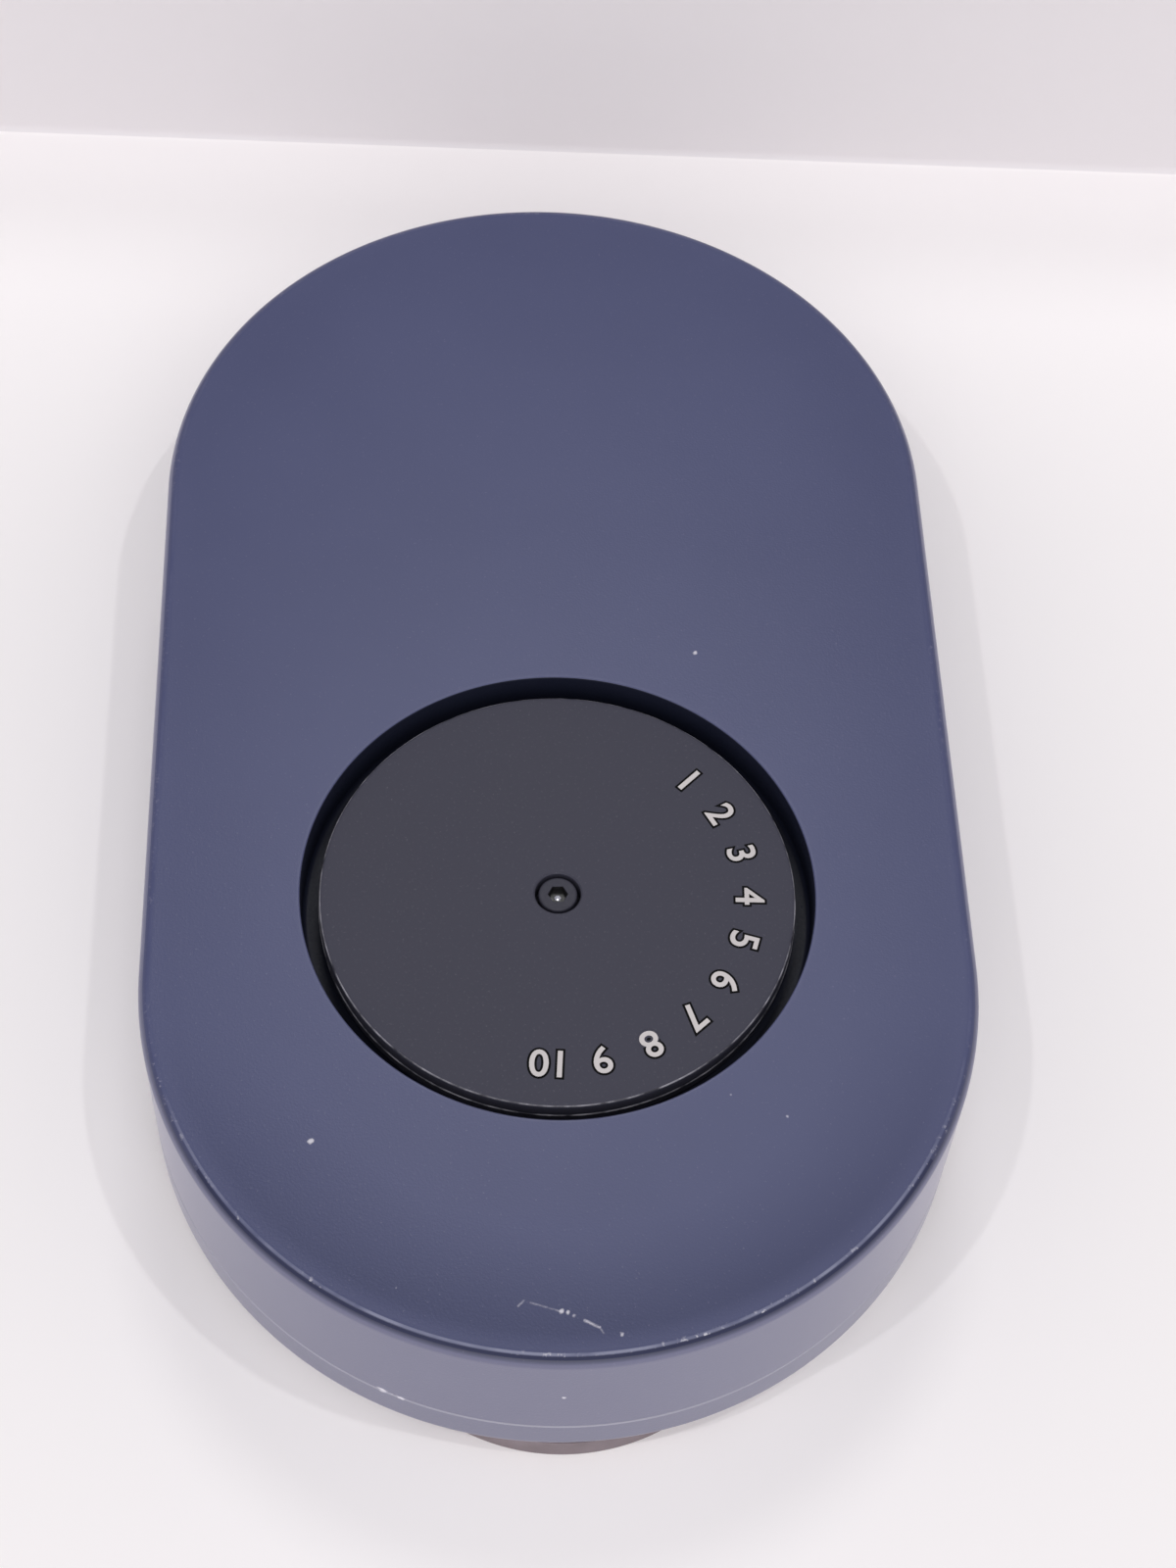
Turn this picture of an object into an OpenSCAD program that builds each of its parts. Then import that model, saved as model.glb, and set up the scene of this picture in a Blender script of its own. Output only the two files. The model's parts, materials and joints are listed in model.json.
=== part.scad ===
// Mouse jiggler: a low pill-shaped housing with a slow turntable let into its top face.
// A small geared motor turns the table, so that a mouse standing on it sees the surface move.
// Millimetres, +Z up. The origin is on the desk, under the middle of the housing.
// The turntable end is the front and points along -Y; the power inlet is at the rear, +Y.

/* [Housing] */
// Width of the housing, which is also the diameter of its round ends
body_w = 80; // [78:0.5:90]
// Length of the housing from end to end
body_l = 139.4; // [134:0.2:160]
// Height from the underside of the lower shell to the top face
body_h = 19.3; // [19.2:0.1:23]
// Height of the lower shell's side, up to the parting line
lower_h = 4; // [3.5:0.1:4.5]
// Thickness of the side walls
wall = 2; // [1.8:0.1:2.4]
// Thickness of the top face
top_t = 2; // [1.6:0.1:2.4]
// Thickness of the lower shell's floor
floor_t = 2; // [1.6:0.1:2.2]
// Radius of the edge round the top face
edge_r = 0.8; // [0.4:0.1:1.4]
// Radius of the edge under the lower shell
under_r = 0.3; // [0.2:0.1:0.6]
// Chamfer on each side of the parting line
seam_c = 0.2; // [0.1:0.05:0.3]
// Height of the tongue that locates the two shells
tongue_h = 1; // [0.6:0.1:1.4]
// Thickness of that tongue
tongue_t = 0.9; // [0.6:0.1:1]

/* [Base pad] */
// Width of the non-slip pad under the housing
pad_w = 40; // [30:1:46]
// Thickness of the pad
pad_h = 3; // [2:0.1:4]
// Distance from the housing's end to the pad's end
pad_inset = 0.15; // [0.1:0.05:4]
// Radius of the pad's lower edge
pad_edge_r = 0.5; // [0.2:0.1:1]

/* [Turntable] */
// Distance from the middle of the housing to the turntable's axis
table_offset = 20.9; // [20:0.1:24]
// Diameter of the turntable
table_d = 46.3; // [40:0.1:48]
// Thickness of the turntable's rim
table_t = 3; // [2.8:0.1:3.4]
// Depth of the turntable's face below the top face of the housing
table_drop = 1; // [0.4:0.1:1.4]
// Thickness of the turntable's web
table_web_t = 1.6; // [1.2:0.1:2]
// Width of the turntable's outer rim under the web
table_rim_w = 1.6; // [1.2:0.1:3]
// Radius of the bearing land round the hub
table_land_r = 9.5; // [8.8:0.1:12]
// Chamfer on the turntable's upper edge
table_c = 0.3; // [0.1:0.05:0.5]
// Number of ribs under the turntable
table_ribs = 6; // [3:1:12]
// Thickness of each rib
table_rib_t = 1; // [0.8:0.1:1.6]
// Outside radius of the hub under the turntable
hub_r = 3.8; // [3.2:0.1:3.9]
// Length of the hub below the turntable
hub_l = 3.1; // [2.4:0.1:3.2]
// Radial gap between the turntable and its well
well_gap = 1.75; // [1:0.05:2.5]
// Gap between the turntable and the floor of its well
well_depth_gap = 0.6; // [0.5:0.05:0.8]
// Thickness of the well's side wall
well_wall = 1.5; // [1.2:0.1:2]
// Thickness of the well's floor
well_floor_t = 1.6; // [1.2:0.1:1.7]
// Chamfer on the rim of the well
well_c = 0.2; // [0.1:0.05:0.4]
// Gap round the hub where it passes through the well's floor
hub_gap = 0.5; // [0.3:0.05:0.6]
// Thickness of the low-friction washer under the turntable
washer_t = 0.5; // [0.3:0.05:0.5]
// Outside radius of that washer
washer_r = 8.4; // [6:0.1:8.6]

/* [Turntable screw] */
// Radius of the screw's thread
set_r = 1; // [0.8:0.05:1.2]
// Radius of the screw's cap head
set_head_r = 1.9; // [1.8:0.05:2]
// Height of the cap head
set_head_h = 2; // [1.8:0.1:2.2]
// Width across the flats of the hexagon socket
set_socket_af = 1.5; // [1.3:0.1:1.6]
// Depth of the hexagon socket
set_socket_h = 1; // [0.6:0.1:1.2]
// Length of the screw under its head
set_l = 5; // [4:0.5:6]
// Radius of the counterbore in the turntable
set_bore_r = 2.25; // [2.1:0.05:2.6]
// Depth of the counterbore in the turntable
set_bore_h = 2.2; // [2.2:0.05:2.3]

/* [Gear train] */
// Module of every gear
gear_m = 0.5; // [0.45:0.01:0.55]
// Teeth on each wheel
wheel_teeth = 36; // [32:1:38]
// Teeth on each pinion
pinion_teeth = 12; // [12:1:14]
// Pressure angle of the teeth
pressure_angle = 20; // [18:0.5:25]
// Profile shift of the pinions, taken off the wheels
profile_shift = 0.3; // [0.1:0.05:0.4]
// Thinning of each tooth for backlash
tooth_slack = 0.08; // [0.05:0.01:0.15]
// Width of the teeth
gear_face = 1.9; // [1.5:0.1:2]
// Gap between one layer of gears and the next
layer_gap = 0.4; // [0.3:0.05:0.5]
// Gap between the gears and the plates above and below them
end_gap = 0.25; // [0.15:0.05:0.35]
// Radius of the steel pins that carry the compound gears
arbor_r = 0.75; // [0.6:0.05:1]
// Radius of the output shaft
shaft_r = 2; // [1.8:0.05:2.2]
// Depth of the flat on the output shaft
shaft_flat = 0.5; // [0.3:0.1:0.7]
// Radius of the shoulder low on the output shaft
shoulder_r = 2.6; // [2.5:0.05:2.7]
// Height of that shoulder
shoulder_h = 0.8; // [0.4:0.1:1.2]
// Outside radius of the output shaft's bushes
bush_r = 3; // [2.8:0.05:3.2]
// Number of lightening holes in each compound gear
web_holes = 5; // [3:1:6]
// Radius of each lightening hole
web_hole_r = 1.1; // [0.6:0.1:1.2]

/* [Gearbox] */
// Thickness of the gearbox's floor plate
box_floor_t = 1.4; // [1.2:0.1:1.6]
// Thickness of the gearbox's cover plate
cover_t = 1.4; // [1.2:0.1:1.4]
// Thickness of the gearbox's walls
box_wall = 1.2; // [1:0.1:1.6]
// Width of the gearbox
box_w = 29; // [28:0.5:36]
// Distance from the turntable's axis to the front of the gearbox
box_front = 13; // [12:0.5:18]
// Distance from the motor's axis to the rear of the gearbox
box_rear = 8.6; // [8:0.1:9]
// Radius of the gearbox's screw posts
box_post_r = 2; // [1.8:0.1:2.4]
// Distance from the motor's axis forward to the rear cover screws
cover_screw_y = 7.2; // [6.5:0.1:8]

/* [Motor] */
// Radius of the motor's can
motor_r = 7.5; // [6.5:0.1:7.8]
// Height of the motor's can
motor_h = 10.3; // [8:0.1:10.5]
// Thickness of the motor's mounting flange
flange_t = 0.8; // [0.6:0.1:1]
// Distance from the motor's axis to each mounting screw
ear_x = 10.4; // [10.2:0.1:11]
// Radius of the round end of each mounting ear
ear_r = 2.3; // [2.1:0.1:2.6]
// Radius of the motor's shaft
rotor_r = 0.75; // [0.6:0.05:0.9]

/* [Circuit board] */
// Width of the circuit board
board_w = 46; // [40:0.5:48]
// Distance from the housing's rear end to the board's front edge
board_reach = 36.7; // [35.7:0.5:37.7]
// Distance from the board's curved rear edge to the housing's outer face
board_inset = 2.9; // [2.5:0.1:3.4]
// Thickness of the circuit board
board_t = 1.2; // [0.8:0.1:1.6]
// Height of the board's posts above the floor
board_post_h = 3; // [2.6:0.1:3.4]
// Radius of the board's posts
board_post_r = 2.5; // [2:0.1:3]
// Distance of the front board screws from the centre line
board_screw_x = 19; // [17:0.5:20]
// Distance of the front board screws behind the board's front edge
board_screw_y = 4; // [3:0.5:6]
// Distance of the single rear board screw from the centre line
board_rear_x = 14; // [12:0.5:16]
// Distance of the single rear board screw behind the board's front edge
board_rear_y = 25; // [22:0.5:26]

/* [Power inlet] */
// Width of the inlet's metal shell
usb_w = 8.94; // [8.9:0.01:9]
// Height of the inlet's metal shell
usb_h = 3.16; // [3.1:0.01:3.3]
// Length of the inlet's metal shell
usb_l = 7.3; // [6.5:0.1:9]
// Sheet thickness of the shell
usb_sheet = 0.3; // [0.2:0.05:0.35]
// Width of the contact tongue
usb_tongue_w = 6.6; // [6:0.1:7]
// Thickness of the contact tongue
usb_tongue_t = 0.7; // [0.6:0.05:0.8]
// Distance of the inlet's mouth inside the housing's outer face
usb_recess = 0.4; // [0.2:0.1:0.8]
// Gap round the inlet in the housing
usb_gap = 0.27; // [0.15:0.01:0.4]

/* [Power button] */
// Angle of the button round the rear end, from the centre line
button_turn = 23; // [20:1:32]
// Radius of the button's face
button_r = 2.6; // [2:0.1:3]
// Distance that the button stands out of the housing
button_out = 0.8; // [0.7:0.1:1.2]
// Travel of the button
button_travel = 0.5; // [0.2:0.05:0.6]
// Gap round the button in the housing
button_gap = 0.15; // [0.1:0.05:0.3]
// Radius of the flange that keeps the button in
button_flange_r = 3.5; // [3.2:0.1:3.7]
// Thickness of that flange
button_flange_t = 0.8; // [0.6:0.1:1]
// Height of the button's axis above the circuit board
button_z = 4; // [3.8:0.1:5]
// Width of the tact switch behind the button
tact_w = 6; // [5:0.1:7]
// Depth of the tact switch
tact_d = 3.6; // [3:0.1:5]
// Radius of the switch's plunger
plunger_r = 1.6; // [1.2:0.1:2]

/* [Fasteners] */
// Distance of the case screws from the centre line
case_screw_x = 29; // [27:0.5:30]
// Distance of the case screws from each end of the housing
case_screw_end = 22.7; // [21:0.1:25]
// Radius of the case screws' thread
case_screw_r = 1.25; // [1:0.05:1.4]
// Radius of the case screws' head
case_head_r = 2.3; // [2:0.1:2.5]
// Height of the case screws' head
case_head_h = 1.7; // [1.4:0.1:2]
// Length of the case screws under the head
case_screw_l = 8; // [6:0.5:9]
// Radius of the bosses that take the case screws
boss_r = 3; // [2.6:0.1:3.2]
// Radius of the small screws on the gearbox, the motor and the board
small_screw_r = 0.95; // [0.8:0.05:1.1]
// Radius of the small screws' head
small_head_r = 1.75; // [1.6:0.05:1.9]
// Height of the small screws' head
small_head_h = 1.2; // [0.8:0.1:1.3]
// Length of the small screws under the head
small_screw_l = 4; // [3:0.1:4.4]

/* [Fits] */
// Radial clearance of a turning or sliding fit
run_fit = 0.05; // [0.03:0.01:0.08]
// Radial clearance of a fixed fit, such as a pressed pin
fixed_fit = 0.02; // [0.01:0.005:0.03]
// Clearance round screws and between moulded shells
loose_fit = 0.15; // [0.1:0.05:0.2]

/* [Hidden] */
$fn = 96;
over = 0.5;                                  // how far a cut runs past the face it opens

// Housing
end_r = body_w / 2;
straight = body_l - body_w;                  // length of the straight sides
end_y = straight / 2;                        // centre of each round end
seam_z = pad_h + lower_h;
top_z = pad_h + body_h;
ceiling_z = top_z - top_t;
floor_z = pad_h + floor_t;
arc_steps = 6;

// Turntable and its well
table_y = -table_offset;
table_r = table_d / 2;
table_top_z = top_z - table_drop;
table_z = table_top_z - table_t;
well_r = table_r + well_gap;
well_z = table_z - well_depth_gap;
well_hole_r = hub_r + hub_gap;
hub_z = table_z - hub_l;
washer_hole_r = well_hole_r + loose_fit;
set_seat_z = table_top_z - set_bore_h;

// Gears: wheel and pinion radii and the three layers, from the motor's layer up
wheel_r = gear_m * wheel_teeth / 2;
pinion_r = gear_m * pinion_teeth / 2;
centre_d = wheel_r + pinion_r;
gear_z0 = floor_z + box_floor_t + end_gap;
layer_h = gear_face + layer_gap;
layer_z = [gear_z0, gear_z0 + layer_h, gear_z0 + 2 * layer_h];
cover_z = layer_z[2] + gear_face + end_gap;
arbor_seat = 1;                              // depth of each pin in the plates
gear2_y = table_y + centre_d;
gear1_y = gear2_y + centre_d;
motor_y = gear1_y + centre_d;
flank_steps = 4;
web_pocket = 0.45;                           // depth of the ring pockets in the output gear
rim_w = 2;                                   // rim and hub of the output gear, round its pockets
gear_hub_w = 1.8;
bush_proud = 0.1;

// Gearbox and motor
plate_z = floor_z + box_floor_t;
motor_z = layer_z[0] + gear_face + end_gap + 0.2;
box_y0 = table_y - box_front;
box_y1 = motor_y + box_rear;
cover_y1 = motor_y - cover_screw_y + box_post_r + 0.2;
post_x = box_w / 2 - box_wall - box_post_r + 0.3;
cover_screws = [for (sx = [-1, 1]) for (y = [box_y0 + box_wall + box_post_r - 0.3,
    motor_y - cover_screw_y]) [sx * post_x, y]];
motor_bore_l = 5;
terminal_w = 8.4;
terminal_h = 3;
terminal_d = 1.6;
terminal_top = 1.6;                          // distance of the terminal below the can's top

// Circuit board and what stands on it
board_front = body_l / 2 - board_reach;
board_z = floor_z + board_post_h;
board_top_z = board_z + board_t;
board_r = end_r - board_inset;
board_screws_at = [[-board_screw_x, board_front + board_screw_y],
    [board_screw_x, board_front + board_screw_y], [-board_rear_x, board_front + board_rear_y]];
usb_z = board_top_z + usb_h / 2;
usb_mouth_y = body_l / 2 - usb_recess;
usb_back_t = 1.4;
tongue_back = 1.2;
chip = [6, 6, 1];
chip_behind = 14.5;                          // distance of the controller behind the board's front
chip_y = board_front + chip_behind;
can_r = 2.5;                                 // reservoir capacitor
can_h = 5.4;
small_chip = [2, 1.2, 0.8];
small_row = 5.5;                             // distance of each row of small chips from the controller
small_pitch = 3.2;
plug_w = 8.2;
plug_h = 3.6;
plug_l = 6.4;
plug_wall = 0.8;
plug_gap = 0.1;
plug_floor = 1;                              // connector floor under the plug's cavity
connector_d = 5;
connector_y = board_front + 1;
plug_in = connector_d - 1.2;                 // how far the plug goes in
plug_z = board_top_z + plug_floor + plug_gap + plug_h / 2;
plug_y0 = connector_y + plug_in - plug_l;

// Power button: built along +Y at the round end's centre, then turned to its place
button_axis_z = board_top_z + button_z;
flange_out = end_r - wall - 0.5;             // outer face of the flange, inside the curved wall
flange_in = flange_out - button_flange_t;
stem_l = 0.7;
plunger_out = flange_in - stem_l;
tact_face = plunger_out - button_travel - 0.9;
plunger_in = tact_face - 0.7;
tact_top = 3.2;                              // height of the switch above the button's axis

// Fasteners
case_screw_y = body_l / 2 - case_screw_end;
case_screws_at = [for (sx = [-1, 1]) for (sy = [-1, 1]) [sx * case_screw_x, sy * case_screw_y]];
case_seat_z = pad_h + case_head_h + 0.9;
post_top_z = seam_z + tongue_h;
boss_z = post_top_z + 0.1;
post_r = boss_r + 0.4;
cross_w = 0.7;                               // width of the cross recess in a screw head

// Wires from the motor to the plug
wire_r = 0.45;
wire_pitch = 1.8;
wire_count = 4;
wire_rings = 14;
wire_sides = 8;
wire_y0 = motor_y + motor_r + terminal_d;
wire_z0 = motor_z + motor_h - terminal_top - terminal_h / 2;

housing_blue = [0.33, 0.35, 0.46];
housing_under = [0.42, 0.41, 0.47];
pad_grey = [0.48, 0.45, 0.47];
table_grey = [0.27, 0.27, 0.30];
steel = [0.72, 0.73, 0.75];
dark_steel = [0.30, 0.30, 0.32];
brass = [0.80, 0.66, 0.36];
acetal = [0.93, 0.92, 0.88];
nylon = [0.86, 0.86, 0.84];
board_green = [0.10, 0.36, 0.22];
chip_black = [0.10, 0.10, 0.11];

// ---- Shared shapes -------------------------------------------------------------------

// Points of a quarter round between two directions, in degrees
function arc(cx, cy, r, from, to, n = arc_steps) =
    [for (i = [0 : n]) let (a = from + (to - from) * i / n) [cx + r * cos(a), cy + r * sin(a)]];

// Points of a slot with round ends, lying along X
function slot(w, h, n = 12) = concat(arc(w / 2 - h / 2, 0, h / 2, -90, 90, n),
    arc(-w / 2 + h / 2, 0, h / 2, 90, 270, n));

// Sweeps a half section, drawn with X outwards and Y up, round a pill of the given straight
module pill(length) {
    for (turn = [0, 180])
        rotate([0, 0, turn]) {
            translate([0, length / 2, 0])
                rotate_extrude(angle = 180)
                    children();
            rotate([90, 0, 0])
                translate([0, 0, -length / 2])
                    linear_extrude(length)
                        children();
        }
}

module at_table() {
    translate([0, table_y, 0])
        children();
}

// Places what is drawn along +Z so that it points out through the rear wall at the button
module at_button() {
    translate([0, end_y, button_axis_z])
        rotate([0, 0, -button_turn])
            rotate([-90, 0, 0])
                children();
}

module ring(outer, inner, height) {
    difference() {
        cylinder(r = outer, h = height);
        translate([0, 0, -over])
            cylinder(r = inner, h = height + 2 * over);
    }
}

// A pan-head screw with a cross recess: the head's underside is at z = 0 and it points down
module pan_screw(r, head_r, head_h, length) {
    difference() {
        union() {
            translate([0, 0, -length])
                cylinder(r = r, h = length);
            cylinder(r1 = head_r, r2 = head_r * 0.8, h = head_h);
        }
        for (turn = [0, 90])
            rotate([0, 0, turn])
                translate([-head_r * 0.6, -cross_w / 2, head_h * 0.45])
                    cube([head_r * 1.2, cross_w, head_h]);
    }
}

// ---- Gears ---------------------------------------------------------------------------

// Involute function, in degrees, at radius r over the base circle rb
function involute(r, rb) = let (a = acos(min(1, rb / r))) tan(a) * 180 / PI - a;

// Half the angle that a tooth fills at radius r
function tooth_half(teeth, shift, r) =
    let (rp = gear_m * teeth / 2, rb = rp * cos(pressure_angle),
        s = gear_m * (PI / 2 + 2 * shift * tan(pressure_angle)) - tooth_slack)
    s / (2 * rp) * 180 / PI + involute(rp, rb) - involute(max(r, rb), rb);

// Outline of a gear whose first tooth is centred on the angle 'turn'
function gear_outline(teeth, shift, turn) =
    let (rp = gear_m * teeth / 2, rb = rp * cos(pressure_angle),
        ra = rp + gear_m * (1 + shift), rf = rp - gear_m * (1.25 - shift),
        r0 = max(rb, rf + 0.05),
        radii = concat([rf], [for (k = [0 : flank_steps]) r0 + (ra - r0) * k / flank_steps]))
    [for (i = [0 : teeth - 1]) for (k = [0 : 2 * len(radii) - 1])
        let (up = k < len(radii), r = radii[up ? k : 2 * len(radii) - 1 - k],
            a = turn + i * 360 / teeth + (up ? -1 : 1) * tooth_half(teeth, shift, r))
        [r * cos(a), r * sin(a)]];

module gear(teeth, shift, turn, height = gear_face) {
    linear_extrude(height)
        polygon(gear_outline(teeth, shift, turn));
}

// A pinion drives towards the wheel in front of it, so its first tooth points along -Y;
// the wheel answers with a gap that points back along +Y
module wheel() {
    gear(wheel_teeth, -profile_shift, 90 + 180 / wheel_teeth);
}

module pinion(height) {
    gear(pinion_teeth, profile_shift, -90, height);
}

// A wheel with a smaller pinion on top of it, moulded in one piece on a through bore
module compound_gear(z) {
    color(acetal)
        translate([0, 0, z])
            difference() {
                union() {
                    wheel();
                    pinion(layer_h + gear_face);
                }
                translate([0, 0, -over])
                    cylinder(r = arbor_r + run_fit, h = layer_h + gear_face + 2 * over);
                for (i = [0 : web_holes - 1])
                    rotate([0, 0, i * 360 / web_holes])
                        translate([(wheel_r + pinion_r) / 2, 0, -over])
                            cylinder(r = web_hole_r, h = gear_face + 2 * over);
            }
}

// ---- Housing -------------------------------------------------------------------------

// Upper shell: side wall, top face with a rounded edge, and the rebate for the tongue
module top_section() {
    inner = end_r - wall;
    rebate = inner + tongue_t + loose_fit;
    rebate_z = seam_z + tongue_h + loose_fit;
    polygon(concat(
        [[0, ceiling_z], [inner, ceiling_z], [inner, rebate_z], [rebate, rebate_z],
            [rebate, seam_z], [end_r - seam_c, seam_z], [end_r, seam_z + seam_c]],
        arc(end_r - edge_r, top_z - edge_r, edge_r, 0, 90),
        [[0, top_z]]));
}

// Lower shell: floor, side lip with its chamfered parting line, and the tongue
module bottom_section() {
    inner = end_r - wall;
    polygon(concat(
        [[0, pad_h]],
        arc(end_r - under_r, pad_h + under_r, under_r, -90, 0),
        [[end_r, seam_z - seam_c], [end_r - seam_c, seam_z], [inner + tongue_t, seam_z],
            [inner + tongue_t, seam_z + tongue_h], [inner, seam_z + tongue_h],
            [inner, floor_z], [0, floor_z]]));
}

module top_shell() {
    color(housing_blue)
        difference() {
            union() {
                pill(straight)
                    top_section();
                at_table()
                    translate([0, 0, well_z - well_floor_t])
                        cylinder(r = well_r + well_wall, h = top_z - top_t / 2 - well_z + well_floor_t);
                for (p = case_screws_at)
                    translate([p[0], p[1], boss_z])
                        cylinder(r = boss_r, h = top_z - top_t / 2 - boss_z);
            }
            at_table() {
                translate([0, 0, well_z])
                    cylinder(r = well_r, h = top_z - well_z + over);
                translate([0, 0, top_z - well_c])
                    cylinder(r1 = well_r, r2 = well_r + well_c + over, h = well_c + over);
                translate([0, 0, well_z - well_floor_t - over])
                    cylinder(r = well_hole_r, h = well_floor_t + 2 * over);
            }
            for (p = case_screws_at)
                translate([p[0], p[1], boss_z - over])
                    cylinder(r = case_screw_r + run_fit, h = case_screw_l + over - 1);
            translate([0, body_l / 2 + over, usb_z])
                rotate([90, 0, 0])
                    linear_extrude(wall * 2)
                        polygon(slot(usb_w + 2 * usb_gap, usb_h + 2 * usb_gap));
            at_button()
                translate([0, 0, end_r - wall * 2])
                    cylinder(r = button_r + button_gap, h = wall * 2 + over);
        }
}

module bottom_shell() {
    color(housing_under)
        difference() {
            union() {
                pill(straight)
                    bottom_section();
                for (p = case_screws_at)
                    translate([p[0], p[1], pad_h + floor_t / 2])
                        cylinder(r = post_r, h = post_top_z - pad_h - floor_t / 2);
                for (p = board_screws_at)
                    translate([p[0], p[1], pad_h + floor_t / 2])
                        cylinder(r = board_post_r, h = board_z - pad_h - floor_t / 2);
            }
            for (p = case_screws_at)
                translate([p[0], p[1], pad_h]) {
                    translate([0, 0, -over])
                        cylinder(r = case_head_r + loose_fit, h = case_seat_z - pad_h + over);
                    cylinder(r = case_screw_r + loose_fit, h = body_h);
                }
            for (p = board_screws_at)
                translate([p[0], p[1], board_z - small_screw_l + board_t - 0.3])
                    cylinder(r = small_screw_r + fixed_fit, h = small_screw_l);
        }
}

module base_pad() {
    color(pad_grey)
        pill(body_l - 2 * pad_inset - pad_w)
            polygon(concat([[0, 0]], arc(pad_w / 2 - pad_edge_r, pad_edge_r, pad_edge_r, -90, 0),
                [[pad_w / 2, pad_h], [0, pad_h]]));
}

module case_screws() {
    color(dark_steel)
        for (p = case_screws_at)
            translate([p[0], p[1], case_seat_z])
                rotate([180, 0, 0])
                    pan_screw(case_screw_r, case_head_r, case_head_h, case_screw_l);
}

// ---- Turntable and output shaft ------------------------------------------------------

// Bore for the shaft's flat end: a round hole cut off by the flat
module flatted(r, flat_x, height) {
    difference() {
        cylinder(r = r, h = height);
        translate([flat_x, -r - over, -over])
            cube([r + over, 2 * (r + over), height + 2 * over]);
    }
}

module turntable() {
    web_z = table_top_z - table_web_t;
    color(table_grey)
        at_table()
            difference() {
                union() {
                    rotate_extrude()
                        polygon([[0, hub_z], [hub_r, hub_z], [hub_r, table_z],
                            [table_land_r, table_z], [table_land_r, web_z],
                            [table_r - table_rim_w, web_z], [table_r - table_rim_w, table_z],
                            [table_r, table_z], [table_r, table_top_z - table_c],
                            [table_r - table_c, table_top_z], [0, table_top_z]]);
                    for (i = [0 : table_ribs - 1])
                        rotate([0, 0, i * 360 / table_ribs])
                            translate([table_land_r - over, -table_rib_t / 2, table_z + 0.2])
                                cube([table_r - table_rim_w - table_land_r + 2 * over, table_rib_t,
                                    web_z - table_z]);
                }
                translate([0, 0, set_seat_z])
                    cylinder(r = set_bore_r, h = set_bore_h + over);
                translate([0, 0, table_z - over])
                    cylinder(r = set_r + loose_fit, h = table_t);
                translate([0, 0, hub_z - over])
                    flatted(shaft_r + fixed_fit, shaft_r - shaft_flat + fixed_fit, hub_l + over);
            }
}

module turntable_screw() {
    socket_r = set_socket_af / 2 / cos(30);
    color(dark_steel)
        at_table()
            translate([0, 0, set_seat_z])
                difference() {
                    union() {
                        rotate_extrude()
                            polygon([[0, 0], [set_head_r, 0], [set_head_r, set_head_h - 0.2],
                                [set_head_r - 0.2, set_head_h], [0, set_head_h]]);
                        translate([0, 0, -set_l])
                            cylinder(r = set_r, h = set_l);
                    }
                    translate([0, 0, set_head_h - set_socket_h])
                        rotate([0, 0, 30])
                            cylinder(r = socket_r, h = set_socket_h + over, $fn = 6);
                }
}

module thrust_washer() {
    color(acetal)
        at_table()
            translate([0, 0, well_z])
                ring(washer_r, washer_hole_r, washer_t);
}

module output_shaft() {
    shaft_z = floor_z + 0.15;
    shoulder_z = plate_z + bush_proud + run_fit;
    color(steel)
        at_table()
            difference() {
                union() {
                    translate([0, 0, shaft_z])
                        cylinder(r = shaft_r, h = table_z - shaft_z);
                    translate([0, 0, shoulder_z])
                        cylinder(r = shoulder_r, h = shoulder_h);
                }
                translate([shaft_r - shaft_flat, -shaft_r - over, hub_z])
                    cube([shaft_r, 2 * (shaft_r + over), hub_l + over]);
                translate([0, 0, set_seat_z - set_l - 0.4])
                    cylinder(r = set_r + fixed_fit, h = set_l + over);
            }
}

module output_gear() {
    color(acetal)
        at_table()
            translate([0, 0, layer_z[2]])
                difference() {
                    wheel();
                    translate([0, 0, -over])
                        cylinder(r = shaft_r + fixed_fit, h = gear_face + 2 * over);
                    for (z = [-over, gear_face - web_pocket])
                        translate([0, 0, z])
                            ring(wheel_r - rim_w, shaft_r + gear_hub_w, web_pocket + over);
                }
}

// Plain bushes in the gearbox's floor and cover
module output_bushes() {
    color(brass)
        at_table() {
            translate([0, 0, floor_z])
                ring(bush_r, shaft_r + run_fit, box_floor_t + bush_proud);
            translate([0, 0, cover_z - bush_proud])
                ring(bush_r, shaft_r + run_fit, cover_t + 2 * bush_proud);
        }
}

module compound_gear_2() {
    translate([0, gear2_y, 0])
        compound_gear(layer_z[1]);
}

module compound_gear_1() {
    translate([0, gear1_y, 0])
        compound_gear(layer_z[0]);
}

module gear_arbors() {
    color(steel)
        for (y = [gear2_y, gear1_y])
            translate([0, y, plate_z - arbor_seat])
                cylinder(r = arbor_r, h = cover_z - plate_z + 2 * arbor_seat);
}

// ---- Motor ---------------------------------------------------------------------------

module motor_pinion() {
    color(brass)
        translate([0, motor_y, layer_z[0]])
            difference() {
                pinion(gear_face);
                translate([0, 0, -over])
                    cylinder(r = rotor_r + fixed_fit, h = gear_face + 2 * over);
            }
}

module motor_shaft() {
    color(steel)
        translate([0, motor_y, layer_z[0]])
            cylinder(r = rotor_r, h = motor_z - layer_z[0] + motor_bore_l - 0.3);
}

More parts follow.
